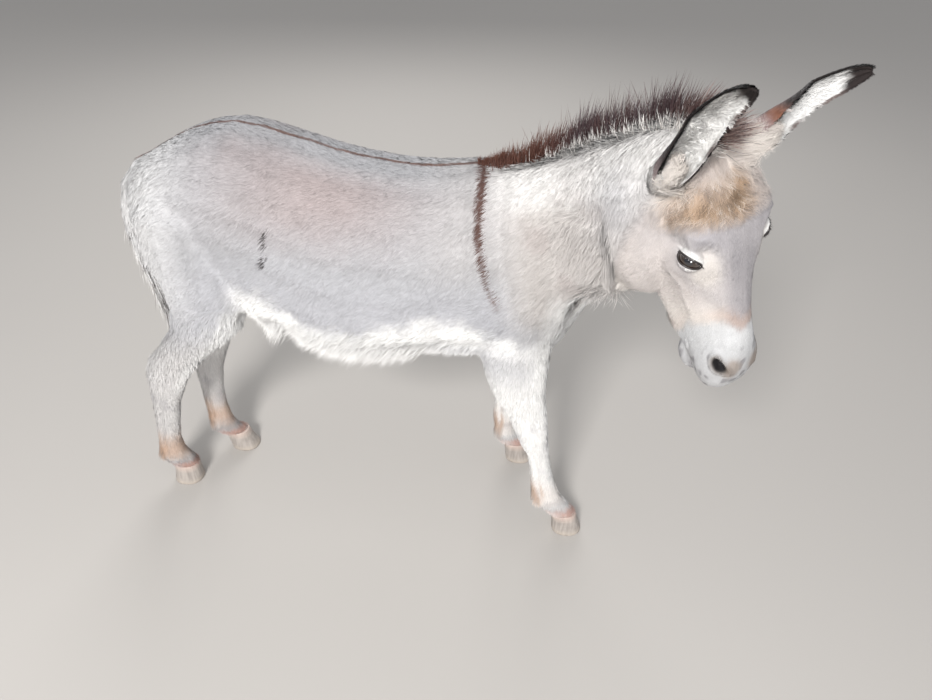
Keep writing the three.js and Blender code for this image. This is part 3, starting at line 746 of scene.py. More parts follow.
def shaped_eyes(points):
    """Lids: near each eye the skin lies on a ball a lid thicker than the eye, and sinks inside the almond."""
    local = in_head(points)
    for side in SIDES.values():
        centre, gaze, line, up = eye_axes(side)
        away = local - centre
        distance = np.linalg.norm(away, axis=1)
        ahead, along, above = away @ gaze, away @ line, away @ up
        near = (distance < 0.05) & (ahead > -0.012)
        turn_along = np.arctan2(along, np.maximum(ahead, 1e-6))
        turn_above = np.arctan2(above, np.hypot(ahead, along))
        skew = LID_SKEW * turn_along / LID_REACH
        limit = np.where(turn_above > 0, UPPER_LID * (1 + skew), LOWER_LID * (1 - skew))
        share = np.clip(1 - (turn_along / LID_REACH) ** 2, 0.0, 1.0) ** 0.62
        inside = np.abs(turn_above) / np.maximum(limit * share, 1e-4)
        open_share = smooth(1.12, 0.90, inside) * (share > 0)
        off_axis = np.arccos(np.clip(ahead / np.maximum(distance, 1e-6), -1, 1))
        hold = smooth(math.radians(105), math.radians(72), off_axis) * near
        fold = 0.0014 * hill(turn_above, UPPER_LID + 0.30, 0.06) * smooth(1.3, 0.9, np.abs(turn_along))
        wanted = EYE_RADIUS + LID - fold - (LID + 0.0050) * open_share
        target = distance + (wanted - distance) * hold
        local = np.where(near[:, None], centre + unit(away) * target[:, None], local)
    return out_of_head(local)


def nostril_reach(local, side):
    """How far points lie from the middle of a nostril, 1 at its rim, and 1 for the points near it.

    The nostril is an oval bent like a comma: its middle line is the parabola b = 10 a^2.
    """
    flip = np.array([1, side, 1])
    away = local - NOSTRIL * flip
    long_way = unit([0.93, -0.30, 0.20]) * flip
    short_way = unit(np.cross(long_way, unit([0.25, 0.55, 0.80]) * flip))
    a, b = away @ long_way, away @ short_way * side
    close = (np.linalg.norm(away, axis=1) < 0.035).astype(float)
    return np.sqrt((a / 0.0160) ** 2 + ((b - 10.0 * a * a) / 0.0090) ** 2), close


def shaped_mouth(points, normals):
    """Presses in the nostrils, as slanted commas with raised wings, and the line of the mouth."""
    local = in_head(points)
    hx, hz = local[:, 0], local[:, 2]
    push = np.zeros(len(points))
    for side in SIDES.values():
        round_off, close = nostril_reach(local, side)
        push -= 0.015 * smooth(1.12, 0.45, round_off) * close
        push += 0.0026 * hill(round_off, 1.45, 0.32) * close
    mouth = -0.1215 + 0.010 * smooth(0.40, 0.345, hx)
    push -= 0.0060 * hill(hz, mouth, 0.0030) * smooth(0.338, 0.352, hx) * smooth(0.46, 0.44, hx)
    push *= smooth(0.30, 0.34, hx) * smooth(-0.2, -0.17, hz) * smooth(0.5, 0.48, hx)
    return points + normals * push[:, None]


def make_skin(material):
    """The skin of the whole body: joined, smoothed, made finer on head, muzzle and eyes, and shaped."""
    mesh = joined_flesh()
    at = places_of(mesh)
    relaxed(mesh, 45, 1.0 - 0.75 * at.shank - 0.7 * at.head)
    at = places_of(mesh)
    relaxed(mesh, 70, np.clip(5.0 * at.head * (1 - at.head), 0, 1) * smooth(0.02, 0.05, at.local[:, 0]))
    at = places_of(mesh)
    hx, hy, hz = at.local.T
    groove = smooth(-0.215, -0.195, hz) * smooth(-0.130, -0.155, hz)
    groove = groove * smooth(0.03, 0.06, hx) * smooth(0.24, 0.20, hx)
    relaxed(mesh, 90, groove * smooth(0.07, 0.10, np.abs(hy)))
    at = places_of(mesh)
    finer(mesh, at.head > 0.4)
    at = places_of(mesh)
    relaxed(mesh, 8, at.head)
    finer(mesh, (at.eye > 0.15) | ((at.muzzle > 0.5) & (at.head > 0.9)))
    at = places_of(mesh)
    relaxed(mesh, 6, at.head)
    at = places_of(mesh)
    set_points(mesh, shaped_body(at))
    set_points(mesh, shaped_mouth(points_of(mesh), normals_of(mesh)))
    set_points(mesh, shaped_eyes(points_of(mesh)))
    at = places_of(mesh)
    add_colour(mesh, "markings", coat_colour(at))
    wet = mound(np.abs(at.local) * [1, 1, -1], NOSTRIL + [0.014, -0.016, 0.010], [0.016] * 3)
    add_number(mesh, "wet", 0.35 * wet)
    shade_smooth(mesh)
    return new_piece("skin", mesh, material, "grey_coat", *FLESH)


# ---------------------------------------------------------------- hair
class Hair:
    """Blades of hair waiting to be made: arrays of roots and of all that shapes a blade."""

    def __init__(self, roots, normals, lie, length, lift, width, colour, sheet, seed):
        self.roots, self.normals, self.lie = roots, unit(normals), lie
        self.shading = self.normals
        self.length, self.lift, self.width = length, lift, width
        self.colour, self.sheet = colour, sheet
        self.seed = seed
        self.tip_colour = colour
        self.gather, self.lock, self.mottle = 0.20, 0.012, 1.0
        self.curl, self.droop, self.bow = 0.05, 0.10, 0.55
        self.steps = 2


def blade_mesh(name, hair):
    """Ribbons that taper to a point.

    A blade runs from its root along the lie of the coat, rises by lift and bows back to the skin
    (t - bow t^2), droops with t^2, waves from side to side, and its tip is drawn to the middle of its lock.
    """
    rng = np.random.default_rng(hair.seed)
    count = len(hair.roots)
    curl, droop = (np.broadcast_to(value, count)[:, None] for value in (hair.curl, hair.droop))
    normal = hair.normals
    along = unit(hair.lie - (hair.lie * normal).sum(axis=1, keepdims=True) * normal)
    aside = np.cross(normal, along)
    centres, lot = lock_centres(hair.roots, hair.lock, 71 + hair.seed)
    to_lock = centres - hair.roots
    to_lock -= (to_lock * normal).sum(axis=1, keepdims=True) * normal
    lean = (lot - 0.5)[:, None] * 0.26 + rng.normal(0, 0.12, (count, 1))
    along = unit(along + aside * lean)
    length = (hair.length * rng.uniform(0.72, 1.18, count))[:, None]
    lift = (hair.lift * rng.uniform(0.65, 1.35, count))[:, None] * (0.88 + 0.24 * lot)[:, None]
    phase = rng.uniform(0, 2 * math.pi, count)[:, None]
    roll = rng.normal(0, 0.5, count)[:, None]
    flat = aside * np.cos(roll) + normal * np.sin(roll)
    width = np.broadcast_to(hair.width, count)[:, None] * rng.uniform(0.75, 1.25, (count, 1))
    down = np.array([0.0, 0.0, -1.0])
    rows = []
    for t in np.linspace(0, 1, hair.steps + 1):
        spine = hair.roots + length * along * t * (1 - 0.2 * lift)
        spine = spine + normal * (length * lift * (t - hair.bow * t * t) * 1.6 - 0.0008)
        spine = spine + to_lock * hair.gather * t**1.4 + down * length * droop * t * t
        spine = spine + aside * length * curl * np.sin(phase + 5.0 * t) * t
        if t < 1:
            half = flat * width * 0.5 * (1 - t) ** 0.45
            rows += [spine - half, spine + half]
        else:
            rows += [spine]
    corners = len(rows)
    points = np.stack(rows, axis=1).reshape(-1, 3)
    first = (np.arange(count) * corners)[:, None]
    loops = []
    for k in range(hair.steps - 1):
        loops += [2 * k, 2 * k + 1, 2 * k + 3, 2 * k + 2]
    last = 2 * (hair.steps - 1)
    loops += [last, last + 1, last + 2]
    sizes = np.tile([4] * (hair.steps - 1) + [3], count)
    mesh = new_mesh(name, points, (first + np.array(loops)).ravel(), sizes)
    tips = np.tile(np.append(np.repeat(np.arange(hair.steps) / hair.steps, 2), 1.0), count)
    each = np.repeat(np.arange(count), corners)
    colour = blend(hair.colour[each], hair.tip_colour[each], tips)
    add_colour(mesh, "markings", colour)
    add_number(mesh, "tip", tips)
    shade = 0.65 * rng.uniform(0, 1, count) + 0.35 * lot
    add_number(mesh, "shade", (0.5 + hair.mottle * (shade - 0.5))[each])
    add_vector(mesh, "skin_normal", hair.shading[each])
    patch = 0.003 * np.stack([np.tile([-0.5, 0.5] * hair.steps + [0.0], count), tips - 0.5], axis=1)
    sheet = np.clip(hair.sheet[each] * 0.99 + 0.005 + patch, 0.0, 1.0)
    corner = np.empty(len(mesh.loops), np.int32)
    mesh.loops.foreach_get("vertex_index", corner)
    mesh.uv_layers.new(name="OFBake").data.foreach_set("uv", sheet[corner].astype(np.float32).ravel())
    return mesh


def wrapped(points, start, end):
    """An unwrap round an axis: the turn about it, and how far along it, both brought to 0..1."""
    axis = unit(np.array(end) - np.array(start))
    aside = unit(np.cross(axis, [0.0, 1.0, 0.02]))
    away = points - np.array(start)
    along = away @ axis
    turn = np.arctan2(away @ np.cross(axis, aside), away @ aside)
    return np.stack([turn / (2 * math.pi) + 0.5, (along - along.min()) / max(np.ptp(along), 1e-6)], axis=1)


class Ground:
    """The skin's triangles, from which roots of hair are drawn by area and by a density for each place."""

    def __init__(self, mesh):
        self.points, self.normals = points_of(mesh), normals_of(mesh)
        self.corners = triangles_of(mesh)
        a, b, c = (self.points[self.corners[:, k]] for k in range(3))
        self.areas = np.linalg.norm(np.cross(b - a, c - a), axis=1) / 2
        middles = (a + b + c) / 3
        self.at = Places(middles, unit(np.cross(b - a, c - a)))

    def roots(self, count, share, seed):
        """Random roots: triangles are drawn by area times share, and a place in each by two even numbers."""
        rng = np.random.default_rng(seed)
        weight = self.areas * share
        ends = np.cumsum(weight)
        picked = np.searchsorted(ends, rng.uniform(0, ends[-1], count))
        picked = np.minimum(picked, len(ends) - 1)
        r1, r2 = np.sqrt(rng.uniform(0, 1, count)), rng.uniform(0, 1, count)
        shares = np.stack([1 - r1, r1 * (1 - r2), r1 * r2], axis=1)[:, :, None]
        corners = self.corners[picked]
        points = (self.points[corners] * shares).sum(axis=1)
        normals = unit((self.normals[corners] * shares).sum(axis=1))
        return points, normals


def bare(at):
    """Places where no hair grows: inside the lids and nostrils, and along the lips."""
    local = folded(at.local)
    away = local - EYE
    eye = (np.linalg.norm(away, axis=1) < EYE_RADIUS + 0.0012) & (away @ unit(GAZE) > -0.01)
    nostril = mound(local, NOSTRIL, [0.0135, 0.0115, 0.014]) > 0.40
    lips = (np.abs(local[:, 2] + 0.120) < 0.003) & (local[:, 0] > 0.36) & (local[:, 0] < 0.5)
    return (at.head > 0.5) & (eye | nostril | lips)


def coat_hair(ground, count, share, seed, axis, lock):
    """Hair for one piece of the coat, from its share of the skin."""
    roots, normals = ground.roots(count, share, seed)
    at = Places(roots, normals)
    keep = ~bare(at)
    roots, normals = roots[keep], normals[keep]
    at = Places(roots, normals)
    length = coat_length(at)
    width = 0.0011 - 0.0004 * at.head + 0.0002 * at.neck
    lie, lift, colour = coat_lie(at), coat_lift(at), coat_colour(at)
    hair = Hair(roots, normals, lie, length, lift, width, colour, wrapped(roots, *axis), seed)
    hair.lock = lock
    hair.curl = 0.06 + 0.32 * at.forehead
    hair.droop = 0.08 + 0.30 * at.belly + 0.15 * at.groin
    hair.shading = coat_shading(at)
    return hair


def coat_shading(at):
    """The normals that light the coat: the skin's own, turned up or outward where hair stands loose."""
    airy = np.maximum(at.belly, np.maximum(at.groin, 0.6 * at.leg * smooth(0.3, 0.4, at.body[:, 2])))
    airy = np.maximum(airy, 1.4 * smooth(0.1, -0.5, at.normals[:, 2]))
    ahead = smooth(0.40, 0.43, at.body[:, 0]) * smooth(0.76, 0.70, at.body[:, 2]) * (1 - at.head)
    airy = np.maximum(airy, 1.2 * ahead * smooth(0.2, 0.7, at.normals[:, 0]))
    high = at.neck * smooth(0.16, 0.04, np.interp(at.body[:, 0], CREST[:, 0], CREST[:, 2]) - at.body[:, 2])
    across = np.sign(crest_side(at.body))[:, None] * np.array([0.55, 0.9, 0.0]) + np.array([0.0, 0.0, 0.35])
    aside = np.array([0.0, 0.55, 0.0]) * np.sign(at.body[:, 1:2]) * np.maximum(at.belly, at.groin)[:, None]
    mirrored = np.abs(at.local) * [1, 1, -1]
    cheek = mound(mirrored, [0.150, 0.125, -0.178], [0.100, 0.040, 0.026])
    facing = np.sign(at.local[:, 1:2]) * HEAD_AXES[:, 1] + [0.0, 0.0, 0.5]
    aside = aside + 1.6 * cheek[:, None] * facing
    upward = np.array([0.0, 0.0, 0.9]) * airy[:, None]
    return unit(at.normals + aside + upward + 0.6 * high[:, None] * across)


BACK, FRONT = BODY + [-0.6, 0, 0.72], BODY + [0.5, 0, 0.72]
NECK_LOW, NECK_HIGH = BODY + [0.33, -0.02, 0.74], BODY + [0.62, -0.25, 0.98]


def make_coat(skin, material, tuft_share):
    """The coat in pieces: four on the trunk, two each on neck and head, and one on each pair of legs."""
    ground = Ground(skin.data)
    at = ground.at
    x, y, z = at.body.T
    leg = (z < 0.48) & (at.head < 0.5) & (x < 0.56) & ((x > 0.2) | (x < -0.2))
    head = (at.head >= 0.5) & ~leg
    neck = (at.neck >= 0.5) & ~leg & ~head
    trunk = ~(leg | head | neck)
    right_head = at.local[:, 1] < 0
    right_neck = (at.body[:, 1] - np.interp(x, [0.3, 0.41, 0.51, 0.6], [0.0, -0.04, -0.135, -0.245])) < 0
    down_face = (out_of_head(np.array([[-0.02, 0, -0.09]]))[0], out_of_head(np.array([[0.46, 0, -0.09]]))[0])
    pieces = {
        "coat_flank_right": (trunk & (y < 0) & (x > -0.1), 63000, (BACK, FRONT), 0.009),
        "coat_quarter_right": (trunk & (y < 0) & (x <= -0.1), 58000, (BACK, FRONT), 0.009),
        "coat_flank_left": (trunk & (y >= 0) & (x > -0.1), 44000, (BACK, FRONT), 0.010),
        "coat_quarter_left": (trunk & (y >= 0) & (x <= -0.1), 40000, (BACK, FRONT), 0.010),
        "coat_neck_right": (neck & right_neck, 46000, (NECK_LOW, NECK_HIGH), 0.010),
        "coat_neck_left": (neck & ~right_neck, 30000, (NECK_LOW, NECK_HIGH), 0.011),
        "coat_head_right": (head & right_head, 44000, down_face, 0.007),
        "coat_head_left": (head & ~right_head, 36000, down_face, 0.007),
        "coat_forelegs": (leg & (x > 0), 26000, (BODY, BODY + [0, 0, 0.5]), 0.007),
        "coat_hind_legs": (leg & (x <= 0), 28000, (BODY + [-0.5, 0, 0], BODY + [-0.5, 0, 0.5]), 0.007),
    }
    density = (1.0 + 0.9 * at.muzzle + 0.5 * at.eye) * ~bare(at)
    for seed, (name, (mine, count, axis, lock)) in enumerate(pieces.items(), start=1):
        hair = coat_hair(ground, int(count * tuft_share), mine * density, seed, axis, lock)
        new_piece(name, blade_mesh(name, hair), material, "grey_coat")


# ---------------------------------------------------------------- ears
def ear_sheet(side, u, v, out):
    """A point of an ear's leaf, u from root to tip and v from edge to edge, out of its middle sheet.

    Across, the leaf is an arc of wrap(u) either way, nearly closed at the root and open at the tip. Along it,
    the half width is 1 - 1.1 (u - 0.4)^2 of the full one at first, then the root of 1 - t^2.4 to the tip.
    """
    swell = np.sqrt(np.maximum(0.0, 1 - np.maximum(0.0, (u - 0.4) / 0.6) ** 2.4))
    width = 0.003 + (EAR_HALF_WIDTH - 0.003) * np.where(u < 0.4, 1 - 1.1 * (u - 0.4) ** 2, swell)
    wrap = 2.2 - 1.35 * np.minimum(1.0, 1.9 * u)
    radius = width / np.sin(np.minimum(wrap, math.pi / 2)) + out
    angle = wrap * v
    leaf = np.stack(
        [
            width * 0.6 - np.cos(angle) * radius + EAR_SWEEP * u * u,
            np.sin(angle) * radius,
            EAR_LENGTH * (u - 0.05 * v * v * (1 - u)),
        ],
        axis=-1,
    )
    return out_of_head(leaf @ ear_axes(side) + EARS[side]["root"])


def ear_colour(side, u, v, inside):
    """White inside, a little lighter than the coat's white as painted light; grey-brown behind, black at the
    tip.

    One edge is dark in a broad band that runs over to the back. The other edge is white, and dark only
    near the tip. The left ear has rust at its root.
    """
    count = len(u)
    noise = waves(np.stack([u * 9, v * 4, np.full(count, 0.5 * SIDES[side])], axis=1), 1.0, 51)
    tip = smooth(0.74, 0.88, u + 0.06 * noise)
    outer = -v + 0.07 * noise
    back = np.tile(MAUVE * [0.90, 0.72, 0.68], (count, 1))
    back = blend(back, BLACK, smooth(0.35, 0.80, outer) * smooth(0.02, 0.30, u))
    back = blend(back, BLACK, 0.9 * smooth(0.25, 0.55, u) * smooth(-0.1, 0.4, outer))
    back = blend(back, BLACK, np.maximum(tip, 0.85 * smooth(0.82, 0.95, v) * smooth(0.35, 0.6, u)))
    if side == "left":
        back = blend(back, BLACK, 0.9 * hill(u, 0.12, 0.18) * hill(outer, 0.30, 0.25))
        red = hill(u, 0.14, 0.08) * smooth(0.45, 0.75, outer + 0.25 * noise)
        back = blend(back, CHESTNUT * 0.8, 0.9 * red)
    rim = 0.80 - 0.22 * smooth(0.25, 0.7, u) + 0.5 * hill(u, 0.10, 0.16) * (side == "left")
    # Painted light: the inside is set a little lighter than the coat's white, to stand in for sun in the
    # ear's hollow.
    front = np.tile(np.minimum(WHITE * 1.1, 0.93), (count, 1))
    if side == "left":
        red = hill(u, 0.14, 0.10) * smooth(0.35, 0.70, outer + 0.25 * noise)
        front = blend(front, CHESTNUT * 0.7, 0.9 * red)
    front = blend(front, BLACK * 1.3, smooth(rim - 0.05, rim + 0.05, outer) * smooth(0.04, 0.12, u))
    white_edge = smooth(0.84, 0.95, v) * np.maximum(smooth(0.50, 0.68, u), hill(u, 0.36, 0.08))
    front = blend(front, BROWN, 0.9 * white_edge)
    front = blend(front, BLACK, tip)
    return blend(front, back, 1.0 - inside)


def make_ear_skin(side, material):
    """The shell of an ear: two sheets, closed at the rims, the root and the tip."""
    around, along = 64, 72
    turn = np.linspace(0, 2 * math.pi, around, endpoint=False)
    v_loop = np.clip(1.04 * np.sin(turn), -1, 1)
    out_loop = EAR_SHELL / 2 * np.cos(turn)
    u, v = np.meshgrid(np.linspace(0.0, 1.0, along) ** 0.92, v_loop, indexing="ij")
    out = np.broadcast_to(out_loop, u.shape) * (1 - 0.55 * u)
    ripple = 0.0012 * np.sin(9 * v + 3 * u) * smooth(0.02, 0.3, u) * (out < 0)
    points = ear_sheet(side, u.ravel(), v.ravel(), (out + ripple).ravel())
    mesh = capped_tube(f"ear_{side}_skin", points, along, around)
    inside = smooth(EAR_SHELL * 0.2, -EAR_SHELL * 0.2, out.ravel())
    add_colour(mesh, "markings", ear_colour(side, u.ravel(), v.ravel(), inside))
    add_number(mesh, "wet", np.zeros(len(points)))
    new_piece(f"ear_{side}_skin", mesh, material, "ear_coat", f"ear_{side}")


def make_ear_hair(side, material, tuft_share):
    """The hair of an ear: short behind, long and soft inside and at the rims."""
    rng = np.random.default_rng(900 + SIDES[side])
    count = int(EAR_HAIRS * tuft_share)
    u, v = rng.uniform(0.02, 1.0, count) ** 1.1, rng.uniform(-1.0, 1.0, count)
    inner = rng.uniform(0, 1, count) < 0.55
    edge = rng.uniform(0, 1, count) < 0.22
    v = np.where(edge, np.sign(v) * (1 - 0.04 * np.abs(v)), v)
    out = np.where(inner, -EAR_SHELL / 2, EAR_SHELL / 2) * (1 - 0.55 * u)
    roots = ear_sheet(side, u, v, out)
    nudge = 1e-3
    outward = unit(ear_sheet(side, u, v, out + nudge) - roots) * np.where(inner, -1, 1)[:, None]
    to_tip = unit(ear_sheet(side, u + nudge, v, out) - roots)
    to_edge = unit(ear_sheet(side, u, v + nudge, out) - roots) * np.sign(v)[:, None]
    colour = ear_colour(side, u, v, inner.astype(float))
    dark = smooth(0.5, 0.2, colour[:, 1])
    woolly = inner & (dark < 0.5)
    across = np.where(inner, np.where(woolly, 0.10 + 0.4 * edge, 0.55), 0.12 + 0.5 * edge)
    lie = to_tip + to_edge * across[:, None] + (0.25 + 0.45 * woolly)[:, None] * drift(roots, 0.009, 61)
    deep = woolly * (1 - np.abs(v)) * smooth(0.95, 0.5, u)
    length = np.where(woolly, 0.013 + 0.007 * deep, np.where(inner, 0.009, 0.0065)) * (1 - 0.3 * u)
    lift = np.where(woolly, 0.35 + 0.25 * deep, np.where(inner, 0.30, 0.20))
    sheet = np.stack([np.where(inner, 0.0, 0.5) + (v + 1) * 0.245, u * 0.98], axis=1)
    hair = Hair(roots, outward, lie, length, lift, 0.0009, colour, sheet, 900 + SIDES[side])
    hair.lock, hair.gather, hair.steps = 0.006, 0.30, 2
    hair.mottle = 0.4
    opening = HEAD_AXES @ ear_axes(side)[0]
    hair.shading = unit(blend(outward, np.broadcast_to(opening + [0, 0, 0.9], outward.shape), 0.9 * woolly))
    new_piece(f"ear_{side}_hair", blade_mesh(f"ear_{side}_hair", hair), material, "ear_coat")


# ---------------------------------------------------------------- mane and tail
# The crest of the neck, from the withers to the poll, and how high the mane stands there.
CREST = np.array(
    [
        [0.235, 0.000, 0.924],
        [0.302, -0.001, 0.927],
        [0.408, -0.036, 0.975],
        [0.462, -0.078, 1.014],
        [0.512, -0.138, 1.056],
        [0.556, -0.198, 1.098],
        [0.588, -0.236, 1.112],
        [0.606, -0.252, 1.100],
    ]
)
MANE_HEIGHTS = np.array([0.014, 0.036, 0.068, 0.074, 0.068, 0.062, 0.070, 0.080])


def along_rows(rows, place):
    """Points along rows of numbers, with straight runs between them."""
    stops = np.arange(len(rows))
    return np.stack([np.interp(place, stops, rows[:, k]) for k in range(rows.shape[1])], axis=1)


def make_mane(material, tuft_share):
    """The mane stands up from the crest in loose locks, with a fringe of short white hair at either side.

    It is dark: red-brown near the withers, purple-brown farther up. Behind the ears it turns longer, with
    paler strands among the dark ones, and sweeps forward over the poll.
    """
    rng = np.random.default_rng(77)
    count = int(MANE_HAIRS * tuft_share)
    place = rng.uniform(0, len(CREST) - 1.0, count)
    height = np.interp(place, np.arange(len(CREST)), MANE_HEIGHTS)
    fringe = rng.uniform(0, 1, count) < 0.42 * smooth(1.2, 2.4, place)
    spread = rng.normal(0, 0.0060, count)
    spread = np.where(fringe, np.sign(spread) * rng.uniform(0.009, 0.017, count), spread)
    next_place, last_place = np.minimum(place + 0.05, len(CREST) - 1.0), np.maximum(place - 0.05, 0)
    ahead = unit(along_rows(CREST, next_place) - along_rows(CREST, last_place))
    aside = unit(np.cross([0, 0, 1.0], ahead))
    roots = along_rows(CREST, place) + BODY + aside * spread[:, None]
    roots[:, 2] -= 0.010 + np.where(fringe, 0.008 + 20.0 * spread**2, 14.0 * spread**2)
    poll = smooth(5.0, 6.4, place)
    splay = aside * (11 * spread)[:, None]
    upward = unit(np.array([0.10, -0.05, 1.0]) + splay + 0.16 * drift(roots, 0.022, 63))
    upward = unit(upward + poll[:, None] * (ahead + np.array([0.25, 0.10, 0.0])))
    short = rng.uniform(0, 1, count) < 0.50
    uneven = 0.88 + 0.38 * waves(roots, 0.014, 66)
    length = height + 0.003 + 0.011 * smooth(0.0, 1.6, place)
    length = length * np.where(short, rng.uniform(0.30, 0.75, count), 1.0) * uneven
    length = np.where(fringe, rng.uniform(0.030, 0.052, count), length)
    warm = smooth(-0.4, 0.5, waves(roots, 0.025, 64))
    low = smooth(2.6, 1.2, place)
    base = np.tile([0.060, 0.042, 0.044], (count, 1))
    base = blend(base, [0.110, 0.050, 0.036], np.maximum(0.35 * warm, low))
    tip = np.tile([0.050, 0.034, 0.040], (count, 1))
    tip = blend(tip, [0.100, 0.043, 0.031], np.maximum(0.4 * warm, low))
    strand = smooth(0.35, 0.65, scatter((roots * 400).astype(np.int64), 67))
    base = blend(base, [0.42, 0.32, 0.28], poll * strand)
    tip = blend(tip, [0.36, 0.25, 0.22], 0.9 * poll * strand)
    base[fringe], tip[fringe] = CREAM, WHITE
    facing = unit(aside * np.sign(spread + 1e-6)[:, None] + 0.3 * rng.normal(size=(count, 3)))
    sheet = np.stack([0.5 + spread / 0.06, place / (len(CREST) - 1)], axis=1)
    hair = Hair(roots, facing, upward, length, 0.02, 0.0013, base, sheet, 77)
    hair.tip_colour, hair.steps, hair.lock, hair.gather = tip, 4, 0.012, 0.55
    hair.droop, hair.curl, hair.bow = 0.0, 0.035, 0.2
    new_piece("mane_hair", blade_mesh("mane_hair", hair), material, "mane_hair", "mane")


# The tail's middle line, from its root to its end, with the half width of its hair.
TAIL = np.array(
    [
        [-0.443, 0.000, 0.873, 0.020],
        [-0.484, 0.000, 0.848, 0.022],
        [-0.520, 0.000, 0.807, 0.020],
        [-0.542, 0.000, 0.746, 0.018],
        [-0.546, 0.000, 0.689, 0.017],
        [-0.535, -0.002, 0.639, 0.018],
        [-0.517, -0.006, 0.584, 0.020],
        [-0.498, -0.014, 0.519, 0.019],
        [-0.480, -0.026, 0.454, 0.015],
        [-0.472, -0.034, 0.410, 0.006],
    ]
)


def make_tail(material, tuft_share):
    """Long hair down the whole tail: pale and loose outside, a dark streak of painted shade along each side.
    """
    rng = np.random.default_rng(78)
    count = int(TAIL_HAIRS * tuft_share)
    place = 0.9 + 6.4 * rng.uniform(0, 1, count) ** 0.85
    rows = along_rows(TAIL, place)
    turn = rng.uniform(0, 2 * math.pi, count)
    ahead = unit(along_rows(TAIL, place + 0.4)[:, :3] - rows[:, :3])
    aside = unit(np.cross(ahead, [0.0, 1.0, 0.0]))
    across = np.cross(ahead, aside)
    outward = aside * np.cos(turn)[:, None] + across * np.sin(turn)[:, None]
    depth = rng.uniform(0.55, 0.95, count) * smooth(2.0, 1.2, place)
    depth = depth + rng.uniform(0.1, 0.80, count) * smooth(1.2, 2.0, place)
    roots = rows[:, :3] + BODY + outward * (rows[:, 3] * depth)[:, None]
    length = 0.035 + 0.055 * smooth(2.0, 5.5, place)
    length = np.minimum(length, np.maximum(rows[:, 2] - 0.405, 0.03) * 1.02)
    # Painted shade: hair facing forward and to the sides, toward the thighs, is darkened in streaks.
    forward = outward[:, 0] + 0.35 * np.abs(outward[:, 1])
    streaks = waves(roots * [1, 1, 0.10], 0.010, 65)
    dark = smooth(0.15, 0.50, forward + 0.35 * streaks) * smooth(1.3, 2.2, place)
    base = blend(np.tile(GREY * 1.1, (count, 1)), BLACK * 2, 0.85 * dark)
    tip = blend(np.tile(WHITE * 0.92, (count, 1)), BLACK * 2, 0.92 * dark)
    tip = blend(tip, BROWN, 0.5 * smooth(5.5, 7.0, place) * smooth(-0.2, 0.3, streaks))
    sheet = np.stack([turn / (2 * math.pi), place / 10], axis=1)
    hair = Hair(roots, outward, ahead, length, 0.10, 0.0013, base, sheet, 78)
    hair.tip_colour, hair.steps, hair.lock, hair.gather = tip, 4, 0.014, 0.4
    hair.droop, hair.curl = 0.10, 0.03
    new_piece("tail_hair", blade_mesh("tail_hair", hair), material, "mane_hair", "tail_tuft")


# ---------------------------------------------------------------- eyes
def make_eyeball(side, material):
    """An eyeball with a bulging cornea."""
    centre, gaze, line, up = eye_axes(SIDES[side])
    turns, rings = 64, 40
    around = np.arange(turns) * 2 * math.pi / turns
    off, turn = np.meshgrid(np.linspace(0.0, math.pi, rings), around, indexing="ij")
    bulge = 1 + 0.07 * np.exp(-((off / math.radians(30)) ** 2) * 1.2)
    ball = np.cos(off)[..., None] * gaze + np.sin(off)[..., None] * (
        np.cos(turn)[..., None] * line + np.sin(turn)[..., None] * up
    )
    points = out_of_head((centre + EYE_RADIUS * bulge[..., None] * ball).reshape(-1, 3))
    faces = grid_faces(rings, turns)
    mesh = new_mesh(f"eye_{side}_ball", points, faces.ravel(), [4] * len(faces))
    face_outward(mesh, 1e-6)
    away = unit(in_head(points_of(mesh)) - centre)
    add_number(mesh, "across", away @ line)
    add_number(mesh, "above", away @ up)
    add_number(mesh, "off", np.arccos(np.clip(away @ gaze, -1, 1)))
    shade_smooth(mesh)
    new_piece(f"eye_{side}_ball", mesh, material, "eye_dark", f"eye_{side}")


def make_lid_rim(side, material):
    """The dark rims of the lids: a thin tube round the almond."""
    centre, gaze, line, up = eye_axes(SIDES[side])
    steps, ring = 96, 10
    t = np.arange(steps) * 2 * math.pi / steps
    path = centre + (LID_EDGE + 0.0008) * (lid_way(t) @ np.stack([gaze, line, up]))
    forward = unit(np.roll(path, -1, axis=0) - np.roll(path, 1, axis=0))
    outward = unit(path - centre)
    beside = np.cross(forward, outward)
    a = np.arange(ring) * 2 * math.pi / ring
    thick = 0.0014 + 0.0003 * smooth(0.0, 0.4, np.sin(t))
    tube = path[:, None] + thick[:, None, None] * (
        np.cos(a)[None, :, None] * outward[:, None] + np.sin(a)[None, :, None] * beside[:, None] * 1.15
    )
    grid = grid_faces(steps + 1, ring) % (steps * ring)
    rim = new_mesh(f"eye_{side}_rim", out_of_head(tube.reshape(-1, 3)), grid.ravel(), [4] * len(grid))
    face_outward(rim)
    shade_smooth(rim)
    new_piece(f"eye_{side}_rim", rim, material, "eye_dark")


